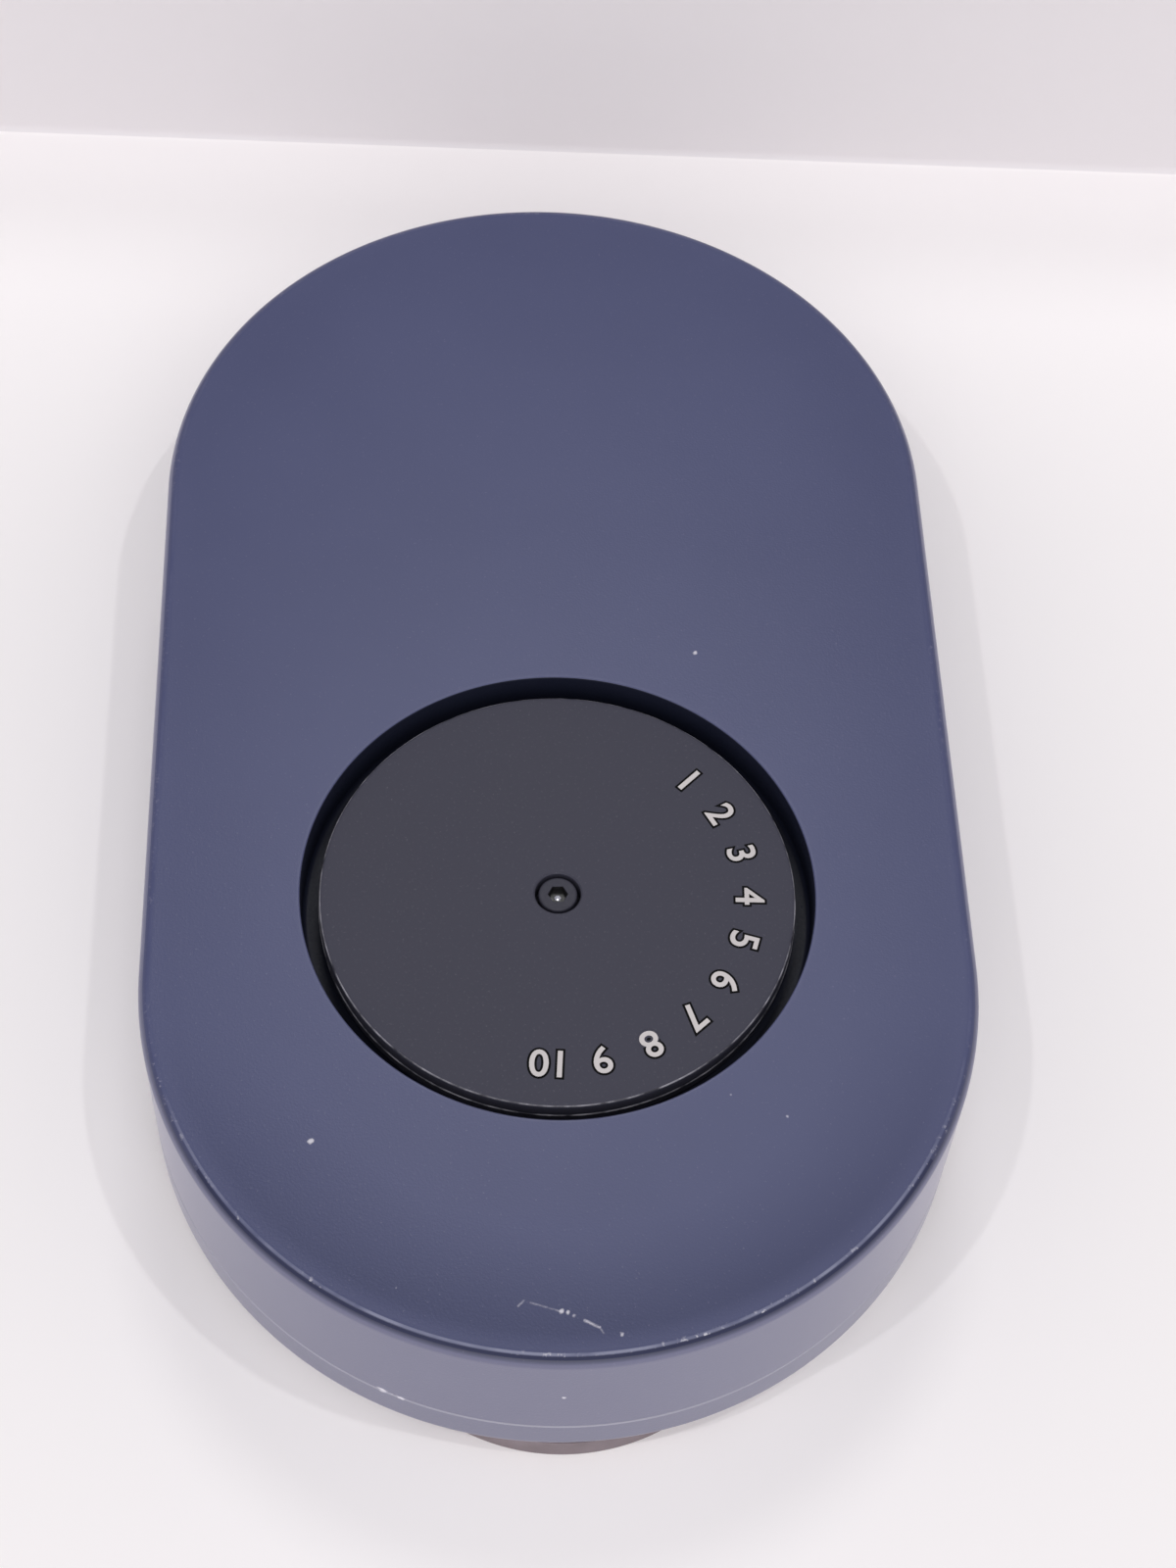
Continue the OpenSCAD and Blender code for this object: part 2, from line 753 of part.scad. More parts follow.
// Can motor standing over its pinion, with two mounting ears and a terminal block
module motor() {
    color(steel)
        translate([0, motor_y, motor_z])
            difference() {
                union() {
                    rotate_extrude()
                        polygon([[0, 0], [motor_r, 0], [motor_r, motor_h - 0.5],
                            [motor_r - 0.5, motor_h], [0, motor_h]]);
                    translate([-ear_x, -ear_r, 0])
                        cube([2 * ear_x, 2 * ear_r, flange_t]);
                    for (side = [-1, 1])
                        translate([side * ear_x, 0, 0])
                            cylinder(r = ear_r, h = flange_t);
                    translate([-terminal_w / 2, 0, motor_h - terminal_top - terminal_h])
                        cube([terminal_w, motor_r + terminal_d, terminal_h]);
                }
                for (side = [-1, 1])
                    translate([side * ear_x, 0, -over])
                        cylinder(r = small_screw_r + loose_fit, h = flange_t + 2 * over);
                translate([0, 0, -over])
                    cylinder(r = rotor_r + run_fit, h = motor_bore_l + over);
            }
}

module small_screw() {
    pan_screw(small_screw_r, small_head_r, small_head_h, small_screw_l);
}

module motor_screws() {
    color(dark_steel)
        for (side = [-1, 1])
            translate([side * ear_x, motor_y, motor_z + flange_t])
                small_screw();
}

// ---- Gearbox -------------------------------------------------------------------------

module gearbox_base() {
    wall_h = cover_z - plate_z;
    color(nylon)
        difference() {
            union() {
                translate([-box_w / 2, box_y0, floor_z])
                    cube([box_w, box_y1 - box_y0, box_floor_t]);
                for (side = [-1, 1])
                    translate([side * (box_w / 2 - box_wall / 2) - box_wall / 2, box_y0, floor_z])
                        cube([box_wall, cover_y1 - box_y0, box_floor_t + wall_h]);
                translate([-box_w / 2, box_y0, floor_z])
                    cube([box_w, box_wall, box_floor_t + wall_h]);
                for (p = cover_screws)
                    translate([p[0], p[1], floor_z])
                        cylinder(r = box_post_r, h = box_floor_t + wall_h);
                for (side = [-1, 1])
                    translate([side * ear_x, motor_y, floor_z])
                        cylinder(r = box_post_r, h = motor_z - floor_z);
            }
            for (p = cover_screws)
                translate([p[0], p[1], cover_z + cover_t - small_screw_l - 0.3])
                    cylinder(r = small_screw_r + fixed_fit, h = small_screw_l + over);
            for (side = [-1, 1])
                translate([side * ear_x, motor_y, motor_z + flange_t - small_screw_l - 0.3])
                    cylinder(r = small_screw_r + fixed_fit, h = small_screw_l + over);
            at_table()
                translate([0, 0, floor_z - over])
                    cylinder(r = bush_r + fixed_fit, h = box_floor_t + 2 * over);
            for (y = [gear2_y, gear1_y])
                translate([0, y, plate_z - arbor_seat])
                    cylinder(r = arbor_r + fixed_fit, h = arbor_seat + over);
        }
}

module gearbox_cover() {
    color(nylon)
        difference() {
            translate([-box_w / 2, box_y0, cover_z])
                cube([box_w, cover_y1 - box_y0, cover_t]);
            translate([0, motor_y, cover_z - over])
                cylinder(r = motor_r + 2 * loose_fit, h = cover_t + 2 * over);
            for (p = cover_screws)
                translate([p[0], p[1], cover_z - over])
                    cylinder(r = small_screw_r + loose_fit, h = cover_t + 2 * over);
            at_table()
                translate([0, 0, cover_z - over])
                    cylinder(r = bush_r + fixed_fit, h = cover_t + 2 * over);
            for (y = [gear2_y, gear1_y])
                translate([0, y, cover_z - over])
                    cylinder(r = arbor_r + fixed_fit, h = arbor_seat + over);
        }
}

module gearbox_screws() {
    color(dark_steel)
        for (p = cover_screws)
            translate([p[0], p[1], cover_z + cover_t])
                small_screw();
}

// ---- Circuit board -------------------------------------------------------------------

// Board with straight sides and a rear edge that follows the housing's round end
module circuit_board() {
    color(board_green)
        difference() {
            intersection() {
                translate([-board_w / 2, board_front, board_z])
                    cube([board_w, body_l, board_t]);
                translate([0, end_y, board_z - over])
                    cylinder(r = board_r, h = board_t + 2 * over);
            }
            for (p = board_screws_at)
                translate([p[0], p[1], board_z - over])
                    cylinder(r = small_screw_r + loose_fit, h = board_t + 2 * over);
        }
}

module board_screws() {
    color(steel)
        for (p = board_screws_at)
            translate([p[0], p[1], board_top_z])
                small_screw();
}

// Inlet shell: a flattened tube, open at the mouth
module usb_shell() {
    color(steel)
        translate([0, usb_mouth_y, usb_z])
            rotate([90, 0, 0])
                difference() {
                    linear_extrude(usb_l)
                        polygon(slot(usb_w, usb_h));
                    translate([0, 0, -over])
                        linear_extrude(usb_l + 2 * over)
                            polygon(slot(usb_w - 2 * usb_sheet, usb_h - 2 * usb_sheet));
                }
}

// Contact tongue on the block that closes the back of the inlet
module usb_tongue() {
    color(chip_black)
        translate([0, usb_mouth_y, usb_z])
            rotate([90, 0, 0])
                union() {
                    translate([0, 0, usb_l - usb_back_t])
                        linear_extrude(usb_back_t)
                            polygon(slot(usb_w - 2 * usb_sheet - 2 * fixed_fit,
                                usb_h - 2 * usb_sheet - 2 * fixed_fit));
                    translate([-usb_tongue_w / 2, -usb_tongue_t / 2, tongue_back])
                        cube([usb_tongue_w, usb_tongue_t, usb_l - usb_back_t - tongue_back + over]);
                }
}

// Side-push switch, standing on the board behind the button
module tact_switch() {
    color(chip_black)
        difference() {
            translate([0, end_y, 0])
                rotate([0, 0, -button_turn])
                    translate([-tact_w / 2, tact_face - tact_d, board_top_z])
                        cube([tact_w, tact_d, button_z + tact_top]);
            at_button()
                translate([0, 0, plunger_in - button_travel - 0.3])
                    cylinder(r = plunger_r + run_fit, h = tact_d);
        }
}

module switch_plunger() {
    color(acetal)
        at_button()
            translate([0, 0, plunger_in])
                cylinder(r = plunger_r, h = plunger_out - plunger_in);
}

// Button with its face, the flange that keeps it in and the stem that meets the plunger
module power_button() {
    face_z = end_r + button_out;
    color(table_grey)
        at_button()
            rotate_extrude()
                polygon(concat([[0, plunger_out], [plunger_r, plunger_out], [plunger_r, flange_in],
                    [button_flange_r, flange_in], [button_flange_r, flange_out],
                    [button_r, flange_out]],
                    arc(button_r - 0.3, face_z - 0.3, 0.3, 0, 90),
                    [[0, face_z]]));
}

module controller_chip() {
    color(chip_black)
        translate([-chip[0] / 2, chip_y - chip[1] / 2, board_top_z])
            cube(chip);
}

// Reservoir capacitor and the small chips round the controller
module board_components() {
    can_x = board_w / 4;
    color(steel)
        translate([can_x, chip_y, board_top_z])
            rotate_extrude()
                polygon([[0, 0], [can_r, 0], [can_r, can_h - 0.4], [can_r - 0.4, can_h], [0, can_h]]);
    color(chip_black)
        for (row = [-1, 1])
            for (i = [0 : 2])
                translate([-can_x - small_chip[0] + i * small_pitch,
                    chip_y + row * small_row - small_chip[1] / 2, board_top_z])
                    cube(small_chip);
}

// Shrouded header on the board, open towards the motor
module motor_connector() {
    inner_w = plug_w + 2 * plug_gap;
    inner_h = plug_h + 2 * plug_gap;
    color(nylon)
        translate([0, connector_y, board_top_z])
            difference() {
                translate([-inner_w / 2 - plug_wall, 0, 0])
                    cube([inner_w + 2 * plug_wall, connector_d, plug_floor + inner_h + plug_wall]);
                translate([-inner_w / 2, -over, plug_floor])
                    cube([inner_w, plug_in + over, inner_h]);
            }
}

module motor_plug() {
    color(acetal)
        translate([-plug_w / 2, plug_y0, plug_z - plug_h / 2])
            cube([plug_w, plug_l, plug_h]);
}

// Points along a wire in the Y-Z plane: out of the terminal, over a small arch, into the plug
function wire_at(t) =
    let (lead = (plug_y0 - wire_y0) * 0.65, arch = 1.2,
        p = [[wire_y0, wire_z0], [wire_y0 + lead, wire_z0 + arch],
            [plug_y0 - lead, plug_z], [plug_y0, plug_z]],
        s = 1 - t)
    s * s * s * p[0] + 3 * s * s * t * p[1] + 3 * s * t * t * p[2] + t * t * t * p[3];

module wire() {
    ends_dir = [1, 0];
    points = [for (i = [0 : wire_rings])
        let (t = i / wire_rings, c = wire_at(t),
            d = i == 0 || i == wire_rings ? ends_dir : wire_at(t + 0.01) - wire_at(t - 0.01),
            n = [-d[1], d[0]] / norm(d))
        for (k = [0 : wire_sides - 1])
            let (a = 360 * k / wire_sides)
            [wire_r * cos(a), c[0] + wire_r * sin(a) * n[0], c[1] + wire_r * sin(a) * n[1]]];
    last = wire_rings * wire_sides;
    faces = concat(
        [[for (k = [0 : wire_sides - 1]) k]],
        [[for (k = [wire_sides - 1 : -1 : 0]) last + k]],
        [for (i = [0 : wire_rings - 1]) for (k = [0 : wire_sides - 1])
            let (a = i * wire_sides, b = (k + 1) % wire_sides)
            [a + k, a + wire_sides + k, a + wire_sides + b, a + b]]);
    polyhedron(points, faces, convexity = 4);
}

module motor_leads() {
    color("firebrick")
        for (i = [0 : wire_count - 1])
            translate([(i - (wire_count - 1) / 2) * wire_pitch, 0, 0])
                wire();
}

top_shell();
bottom_shell();
base_pad();
case_screws();
turntable();
turntable_screw();
thrust_washer();
output_shaft();
output_gear();
output_bushes();
compound_gear_2();
compound_gear_1();
gear_arbors();
motor_pinion();
motor_shaft();
motor();
motor_screws();
gearbox_base();
gearbox_cover();
gearbox_screws();
circuit_board();
board_screws();
usb_shell();
usb_tongue();
tact_switch();
switch_plunger();
power_button();
controller_chip();
board_components();
motor_connector();
motor_plug();
motor_leads();
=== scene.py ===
"""Looks of a mouse jiggler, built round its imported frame.

A low pill-shaped housing with a soft-touch coat stands on a rubber pad, with a dark turntable let
into its top face. The pieces that show are modelled again in fine meshes, in the frame's places;
the mechanism inside keeps its solids and gets its finishes.
"""

import json
import logging
import math
from dataclasses import dataclass
from enum import Enum
from typing import Callable, Iterable, Union

import bmesh
import bpy
from mathutils import Euler, Matrix, Vector


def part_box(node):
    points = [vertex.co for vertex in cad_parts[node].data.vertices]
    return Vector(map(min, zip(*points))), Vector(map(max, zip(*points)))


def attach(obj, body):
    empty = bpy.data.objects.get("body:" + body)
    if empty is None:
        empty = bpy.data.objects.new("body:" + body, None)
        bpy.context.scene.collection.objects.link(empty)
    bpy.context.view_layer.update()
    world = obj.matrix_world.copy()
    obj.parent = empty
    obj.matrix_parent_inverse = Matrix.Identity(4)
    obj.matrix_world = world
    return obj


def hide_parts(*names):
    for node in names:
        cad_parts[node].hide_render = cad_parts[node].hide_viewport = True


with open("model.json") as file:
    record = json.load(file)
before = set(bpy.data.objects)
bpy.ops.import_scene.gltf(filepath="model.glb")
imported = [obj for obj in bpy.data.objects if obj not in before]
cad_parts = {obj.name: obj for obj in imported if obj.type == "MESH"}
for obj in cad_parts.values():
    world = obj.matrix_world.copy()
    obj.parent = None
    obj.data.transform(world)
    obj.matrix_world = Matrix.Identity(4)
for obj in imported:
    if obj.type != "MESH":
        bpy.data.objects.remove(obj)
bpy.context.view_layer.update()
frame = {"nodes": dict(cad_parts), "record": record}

log = logging.getLogger("jiggler")

MM = 0.001                     # one millimetre, in the frame's metres
ROUND_SIDES = 256              # sides of the housing's ends and of the well, which are bridged
SMALL_SIDES = 64               # sides of bosses, screws and other small turned forms
SMOOTH_ANGLE = math.radians(32)
WELD = 0.002                   # points nearer than this are merged, in mm
LEVEL = 0.01                   # a ring counts as level within this, in mm
SUPPORT = 0.3                  # ring of points this far from an edge, which keeps shading even

Colour = tuple[float, float, float, float]
Setting = Union[float, tuple, bpy.types.NodeSocket]

# Sockets of a Mix node that blends colours
FACTOR, FIRST, SECOND, MIXED = 0, 6, 7, 2


# ---- Colour and nodes ----------------------------------------------------------------------

def linear(code: str) -> Colour:
    """Turns an sRGB hex colour into linear light.

    Args:
        code: Six hex digits, with or without a leading hash.

    Returns:
        Red, green, blue and an alpha of one.
    """
    digits = code.lstrip("#")                       # the rest is the sRGB standard's curve
    parts = [int(digits[i:i + 2], 16) / 255 for i in (0, 2, 4)]
    light = [p / 12.92 if p <= 0.04045 else ((p + 0.055) / 1.055) ** 2.4 for p in parts]
    return (light[0], light[1], light[2], 1.0)


def per_metre(size_mm: float) -> float:
    """Gives the scale, on coordinates in metres, of a pattern of this size in millimetres."""
    return 1 / (size_mm * MM)


class Graph:
    """The nodes of one material, or of the room's light."""

    def __init__(self, owner: Union[bpy.types.Material, bpy.types.World]) -> None:
        """Empties the owner's nodes.

        Args:
            owner: Material or world that the nodes belong to.
        """
        owner.use_nodes = True
        self.owner = owner
        self.tree = owner.node_tree
        self.tree.nodes.clear()

    def add(self, kind: str, inputs: dict[Union[str, int], Setting],
            output: Union[str, int] = 0, **settings: object) -> bpy.types.NodeSocket:
        """Adds a node with its settings, values and links.

        Args:
            kind: Blender's name of the node type, without the word ShaderNode.
            inputs: Value or source socket for each input, by the input's name or number.
            output: Name or number of the output that is wanted.
            settings: Properties of the node itself.

        Returns:
            That output of the new node.
        """
        node = self.tree.nodes.new("ShaderNode" + kind)
        for name, value in settings.items():
            setattr(node, name, value)
        for key, value in inputs.items():
            if isinstance(value, bpy.types.NodeSocket):
                self.tree.links.new(value, node.inputs[key])
            else:
                node.inputs[key].default_value = value
        return node.outputs[output]

    def end(self, surface: bpy.types.NodeSocket) -> None:
        """Links a finished shader to the owner's output.

        Args:
            surface: Output of the shader.
        """
        kind = "World" if isinstance(self.owner, bpy.types.World) else "Material"
        output = self.tree.nodes.new("ShaderNodeOutput" + kind)
        self.tree.links.new(surface, output.inputs["Surface"])

    def finish(self, looks: dict[str, Setting], relief: bpy.types.NodeSocket,
               depth_mm: float) -> bpy.types.Material:
        """Ends a material in its shader, with a relief of a real depth.

        Args:
            looks: Colour, roughness and the shader's other inputs.
            relief: Socket with the relief, from zero to one.
            depth_mm: Height of the relief in millimetres.

        Returns:
            The material.
        """
        normal = self.add("Bump", {"Height": relief, "Distance": depth_mm * MM, "Strength": 1.0})
        self.end(self.add("BsdfPrincipled", {**looks, "Normal": normal}))
        return self.owner


def start_material(name: str) -> tuple[Graph, bpy.types.NodeSocket]:
    """Starts a material.

    Args:
        name: Name of the material.

    Returns:
        Its nodes, and the socket with Object coordinates.
    """
    graph = Graph(bpy.data.materials.new(name))
    return graph, graph.add("TexCoord", {}, "Object")


@dataclass(frozen=True)
class Span:
    """A stretch of a value, from where a look starts to where it is full."""

    start: float
    full: float
    low: float = 0.0
    high: float = 1.0

    def inputs(self, value: bpy.types.NodeSocket) -> dict[str, Setting]:
        """Gives what a Map Range node needs to turn the value into low to high."""
        return {"Value": value, "From Min": self.start, "From Max": self.full,
                "To Min": self.low, "To Max": self.high}


@dataclass(frozen=True)
class Pattern:
    """An uneven pattern, by the real size of its features."""

    size_mm: float
    detail: float
    roughness: float = 0.5

    def inputs(self, place: bpy.types.NodeSocket) -> dict[str, Setting]:
        """Gives what a Noise Texture node needs to draw the pattern at a place."""
        return {"Vector": place, "Scale": per_metre(self.size_mm), "Detail": self.detail,
                "Roughness": self.roughness}


MOST = (0.3, 0.7)              # nearly all of a pattern's values lie between these


def patchy(graph: Graph, place: bpy.types.NodeSocket, pattern: Pattern,
           span: Span) -> bpy.types.NodeSocket:
    """Draws a pattern and keeps a stretch of it.

    Args:
        graph: Nodes of the material.
        place: Object coordinates.
        pattern: The pattern.
        span: Stretch of the pattern's values that is kept.

    Returns:
        The patches.
    """
    return graph.add("MapRange", span.inputs(graph.add("TexNoise", pattern.inputs(place))))


def layered(graph: Graph, base: str,
            layers: Iterable[tuple[bpy.types.NodeSocket, str]]) -> bpy.types.NodeSocket:
    """Paints other colours over a first one, one after the other.

    Args:
        graph: Nodes of the material.
        base: First colour, in hex.
        layers: Mask and colour, in hex, of each coat of paint over it.

    Returns:
        The colour that shows in the end.
    """
    colour = linear(base)
    for mask, paint in layers:
        colour = graph.add("Mix", {FACTOR: mask, FIRST: colour, SECOND: linear(paint)}, MIXED,
                           data_type="RGBA")
    return colour


def both(graph: Graph, masks: Iterable[bpy.types.NodeSocket]) -> bpy.types.NodeSocket:
    """Multiplies masks.

    Args:
        graph: Nodes of the material.
        masks: Two masks or more.

    Returns:
        A mask that is one where all of them are.
    """
    rest = iter(masks)
    mask = next(rest)
    for share in rest:
        mask = graph.add("Math", {0: mask, 1: share}, operation="MULTIPLY")
    return mask


# ---- Modelling helpers ---------------------------------------------------------------------

class Join(Enum):
    """How one form is put to another."""

    CUT = "DIFFERENCE"
    ADD = "UNION"


def start_clean() -> None:
    """Leaves edit mode and deselects everything."""
    if bpy.context.object and bpy.context.object.mode != "OBJECT":
        bpy.ops.object.mode_set(mode="OBJECT")
    bpy.ops.object.select_all(action="DESELECT")


def pick(piece: bpy.types.Object) -> None:
    """Makes one object the only selected and the active one.

    Args:
        piece: Object to pick.
    """
    start_clean()
    piece.select_set(True)
    bpy.context.view_layer.objects.active = piece


def select_points(piece: bpy.types.Object, test: Callable[[Vector], bool]) -> None:
    """Selects the points of the mesh in edit mode that pass a test of their place.

    Args:
        piece: Object in edit mode.
        test: Takes a point's place in metres and says whether it is selected.
    """
    bpy.ops.mesh.select_mode(type="VERT")
    bpy.ops.mesh.select_all(action="DESELECT")
    mesh = bmesh.from_edit_mesh(piece.data)
    for point in mesh.verts:
        point.select_set(test(point.co))
    mesh.select_flush(True)
    bmesh.update_edit_mesh(piece.data)


def select_rims(piece: bpy.types.Object, test: Callable[[Vector], bool]) -> None:
    """Selects the open edges of the mesh in edit mode whose middle passes a test.

    Args:
        piece: Object in edit mode.
        test: Takes the middle of an edge in metres and says whether it is selected.
    """
    bpy.ops.mesh.select_mode(type="EDGE")
    bpy.ops.mesh.select_all(action="DESELECT")
    mesh = bmesh.from_edit_mesh(piece.data)
    for edge in mesh.edges:
        middle = (edge.verts[0].co + edge.verts[1].co) / 2
        if edge.is_boundary and test(middle):
            edge.select_set(True)
    bmesh.update_edit_mesh(piece.data)


def combine(piece: bpy.types.Object, tool: bpy.types.Object, how: Join) -> None:
    """Cuts a tool from a piece or adds it to it, and removes the tool.

    Args:
        piece: Object that is changed.
        tool: Closed object that is used up.
        how: Whether the tool is cut away or added.
    """
    pick(piece)
    bpy.ops.object.modifier_add(type="BOOLEAN")
    modifier = piece.modifiers[-1]
    modifier.operation = how.value
    modifier.solver = "EXACT"
    modifier.object = tool
    bpy.ops.object.modifier_apply(modifier=modifier.name)
    bpy.data.objects.remove(tool)


def place_mesh(piece: bpy.types.Object, matrix: Matrix) -> bpy.types.Object:
    """Moves a piece's mesh and leaves its object at the origin.

    Args:
        piece: Object whose mesh is moved.
        matrix: Move in metres.

    Returns:
        The piece.
    """
    piece.data.transform(matrix)
    piece.data.update()
    return piece


def face_out(piece: bpy.types.Object) -> None:
    """Merges doubles and turns every face outwards.

    Args:
        piece: Object whose mesh is mended.
    """
    pick(piece)
    bpy.ops.object.mode_set(mode="EDIT")
    bpy.ops.mesh.select_all(action="SELECT")
    bpy.ops.mesh.remove_doubles(threshold=WELD * MM)
    bpy.ops.mesh.normals_make_consistent(inside=False)
    bpy.ops.object.mode_set(mode="OBJECT")


def join_pieces(pieces: list[bpy.types.Object]) -> bpy.types.Object:
    """Joins several objects into the first one.

    Args:
        pieces: Objects to join.

    Returns:
        The joined object.
    """
    pick(pieces[0])
    for piece in pieces[1:]:
        piece.select_set(True)
    bpy.ops.object.join()
    return pieces[0]


class Turning:
    """A ring of edges carried along a profile, as a blank is shaped on a lathe.

    Radii and heights are in millimetres, and the axis is the Z axis.
    """

    def __init__(self, name: str, sides: int, radius: float, height: float) -> None:
        """Starts the ring.

        Args:
            name: Name of the piece.
            sides: Number of sides of the ring.
            radius: Radius of the first ring.
            height: Height of the first ring.
        """
        start_clean()
        bpy.ops.mesh.primitive_circle_add(vertices=sides, radius=radius * MM,
                                          fill_type="NOTHING", location=(0, 0, height * MM),
                                          rotation=(0, 0, math.pi / sides))
        self.piece = bpy.context.object
        self.piece.name = name
        self.piece.data.name = name
        bpy.ops.object.transform_apply(location=True, rotation=True, scale=True)
        bpy.ops.object.mode_set(mode="EDIT")
        bpy.ops.mesh.select_mode(type="EDGE")
        bpy.ops.mesh.select_all(action="SELECT")
        self.radius = radius
        self.height = height

    def to(self, radius: float, height: float) -> "Turning":
        """Carries the ring on to a new radius and height, with a band of faces between.

        Args:
            radius: New radius.
            height: New height.

        Returns:
            The turning itself, so that steps can be chained.
        """
        rise = (height - self.height) * MM
        bpy.ops.mesh.extrude_edges_move(TRANSFORM_OT_translate={"value": (0, 0, rise)})
        scale = radius / self.radius
        if radius != self.radius:
            bpy.ops.transform.resize(value=(scale, scale, 1),
                                     center_override=(0, 0, height * MM))
        self.radius = radius
        self.height = height
        return self

    def arc(self, radius: float, height: float, bend: float, start: float, end: float,
            steps: int) -> "Turning":
        """Carries the ring round a quarter or other part of a circle.

        Args:
            radius: Distance of the arc's centre from the axis.
            height: Height of the arc's centre.
            bend: Radius of the arc.
            start: First angle in degrees, from outwards towards up.
            end: Last angle in degrees.
            steps: Number of bands.

        Returns:
            The turning itself.
        """
        for i in range(steps + 1):
            angle = math.radians(start + (end - start) * i / steps)
            self.to(radius + bend * math.cos(angle), height + bend * math.sin(angle))
        return self

    def stretch(self, half: float) -> "Turning":
        """Parts the rings along Y into a pill with straight sides.

        Args:
            half: Distance that each half moves.

        Returns:
            The turning itself.
        """
        for side in (1, -1):
            select_points(self.piece, lambda place: place.y * side > 0)
            bpy.ops.transform.translate(value=(0, side * half * MM, 0))
        return self

    def closed(self) -> bpy.types.Object:
        """Closes open ends and returns the finished solid."""
        bpy.ops.mesh.select_mode(type="EDGE")
        bpy.ops.mesh.select_all(action="SELECT")
        bpy.ops.mesh.remove_doubles(threshold=WELD * MM)
        bpy.ops.mesh.select_all(action="SELECT")
        bpy.ops.mesh.fill_holes(sides=0)
        bpy.ops.object.mode_set(mode="OBJECT")
        face_out(self.piece)
        return self.piece

    def open_ended(self) -> bpy.types.Object:
        """Returns the piece with its ends left open."""
        bpy.ops.object.mode_set(mode="OBJECT")
        return self.piece


def rod(name: str, radius: float, low: float, high: float,
        at: tuple[float, float] = (0, 0)) -> bpy.types.Object:
    """Turns an upright rod, used as a boss or as the tool of a bore.

    Args:
        name: Name of the piece.
        radius: Radius in millimetres.
        low: Lower end in millimetres.
        high: Upper end in millimetres.
        at: Place of its axis in millimetres.

    Returns:
        The closed rod.
    """
    piece = Turning(name, SMALL_SIDES, radius, low).to(radius, high).closed()
    return place_mesh(piece, Matrix.Translation((at[0] * MM, at[1] * MM, 0)))


def block(name: str, low: tuple[float, float, float],
          high: tuple[float, float, float]) -> bpy.types.Object:
    """Makes the box between two corners, as a tool or as the start of a rib.

    Args:
        name: Name of the piece.
        low: Lowest corner in millimetres.
        high: Highest corner in millimetres.

    Returns:
        The box.
    """
    start_clean()
    middle = [(a + b) / 2 * MM for a, b in zip(low, high)]
    bpy.ops.mesh.primitive_cube_add(size=1, location=middle)
    piece = bpy.context.object
    piece.name = name
    piece.scale = [(b - a) * MM for a, b in zip(low, high)]
    bpy.ops.object.transform_apply(location=True, rotation=True, scale=True)
    return piece


def finish_piece(piece: bpy.types.Object, material: bpy.types.Material) -> bpy.types.Object:
    """Smooths a piece up to its real edges and gives it its material.

    Args:
        piece: Finished mesh.
        material: Its material.

    Returns:
        The piece.
    """
    pick(piece)
    bpy.ops.object.shade_smooth_by_angle(angle=SMOOTH_ANGLE)
    piece.data.materials.clear()
    piece.data.materials.append(material)
    return piece


# ---- Finishes ------------------------------------------------------------------------------

# Grains are drawn coarser than the real ones, which are too fine to show in a picture.

# Painted light: reflection on an edge's steep part, highlight where it starts and on lower edges
# Stretches of the upright share of a face's normal: 1 on a level face, 0 on an upright one
STEEP_EDGE_REFLECTION = (Span(0.5, 0.82), Span(0.97, 0.93))         # steep part of a rounded edge
EDGE_START_HIGHLIGHT = (Span(0.95, 0.975), Span(0.9995, 0.997))  # where a rounded edge starts
LOOKS_DOWN = Span(-0.3, -0.6)      # lower edge; a fault, it takes in the flat underside as well
HIGHLIGHT_BREAK_PATTERN, HIGHLIGHT_BREAK_PATCHES = Pattern(5.0, 3.0), Span(0.38, 0.6, 0.3, 1.0)


@dataclass(frozen=True)
class Scuff:
    """A rubbed line in the coat, in the place where the object has it."""

    start: tuple[float, float, float]
    end: tuple[float, float, float]
    width_mm: float
    strength: float
    core: float = 0.15                              # share of the width that is rubbed fully
    pattern: Pattern = Pattern(1.1, 3.0, 0.7)
    broken: tuple[float, float] = (0.42, 0.6)

    def mask(self, graph: Graph, place: bpy.types.NodeSocket) -> bpy.types.NodeSocket:
        """Marks the line, broken up along its way.

        Args:
            graph: Nodes of the material.
            place: Object coordinates.

        Returns:
            Strength of the rub, zero off the line.
        """
        start = Vector(self.start) * MM
        way = Vector(self.end) * MM - start
        offset = graph.add("VectorMath", {0: place, 1: tuple(start)}, operation="SUBTRACT")
        along = graph.add("VectorMath", {0: offset, 1: tuple(way / way.length_squared)}, "Value",
                          operation="DOT_PRODUCT")
        held = graph.add("Clamp", {"Value": along})
        foot = graph.add("VectorMath", {0: tuple(way), "Scale": held}, operation="SCALE")
        apart = graph.add("VectorMath", {0: offset, 1: foot}, "Value", operation="DISTANCE")
        line = Span(self.core * self.width_mm * MM, self.width_mm * MM, 1.0, 0.0)
        broken = Span(*self.broken, 0.0, self.strength)
        return both(graph, (graph.add("MapRange", line.inputs(apart)),
                            patchy(graph, place, self.pattern, broken)))


@dataclass(frozen=True)
class Speck:
    """A small chip or grain of dust on the coat, in the place where the object has it."""

    at: tuple[float, float, float]
    width_mm: float
    pattern: Pattern = Pattern(0.5, 1.0)
    ragged_mm: float = 0.5                          # how far its outline runs in and out
    rim_mm: tuple[float, float] = (0.15, 0.35)      # rim, outside its half width, where it fades

    def mask(self, graph: Graph, place: bpy.types.NodeSocket) -> bpy.types.NodeSocket:
        """Marks the speck.

        Args:
            graph: Nodes of the material.
            place: Object coordinates.

        Returns:
            One on the speck, zero elsewhere.
        """
        centre = tuple(Vector(self.at) * MM)
        apart = graph.add("VectorMath", {0: place, 1: centre}, "Value", operation="DISTANCE")
        uneven = graph.add("TexNoise", self.pattern.inputs(place))
        ragged = graph.add("Math", {0: uneven, 1: self.ragged_mm * MM, 2: apart},
                           operation="MULTIPLY_ADD")
        full, gone = (self.width_mm / 2 * MM + rim * MM for rim in self.rim_mm)
        return graph.add("MapRange", Span(full, gone, 1.0, 0.0).inputs(ragged))


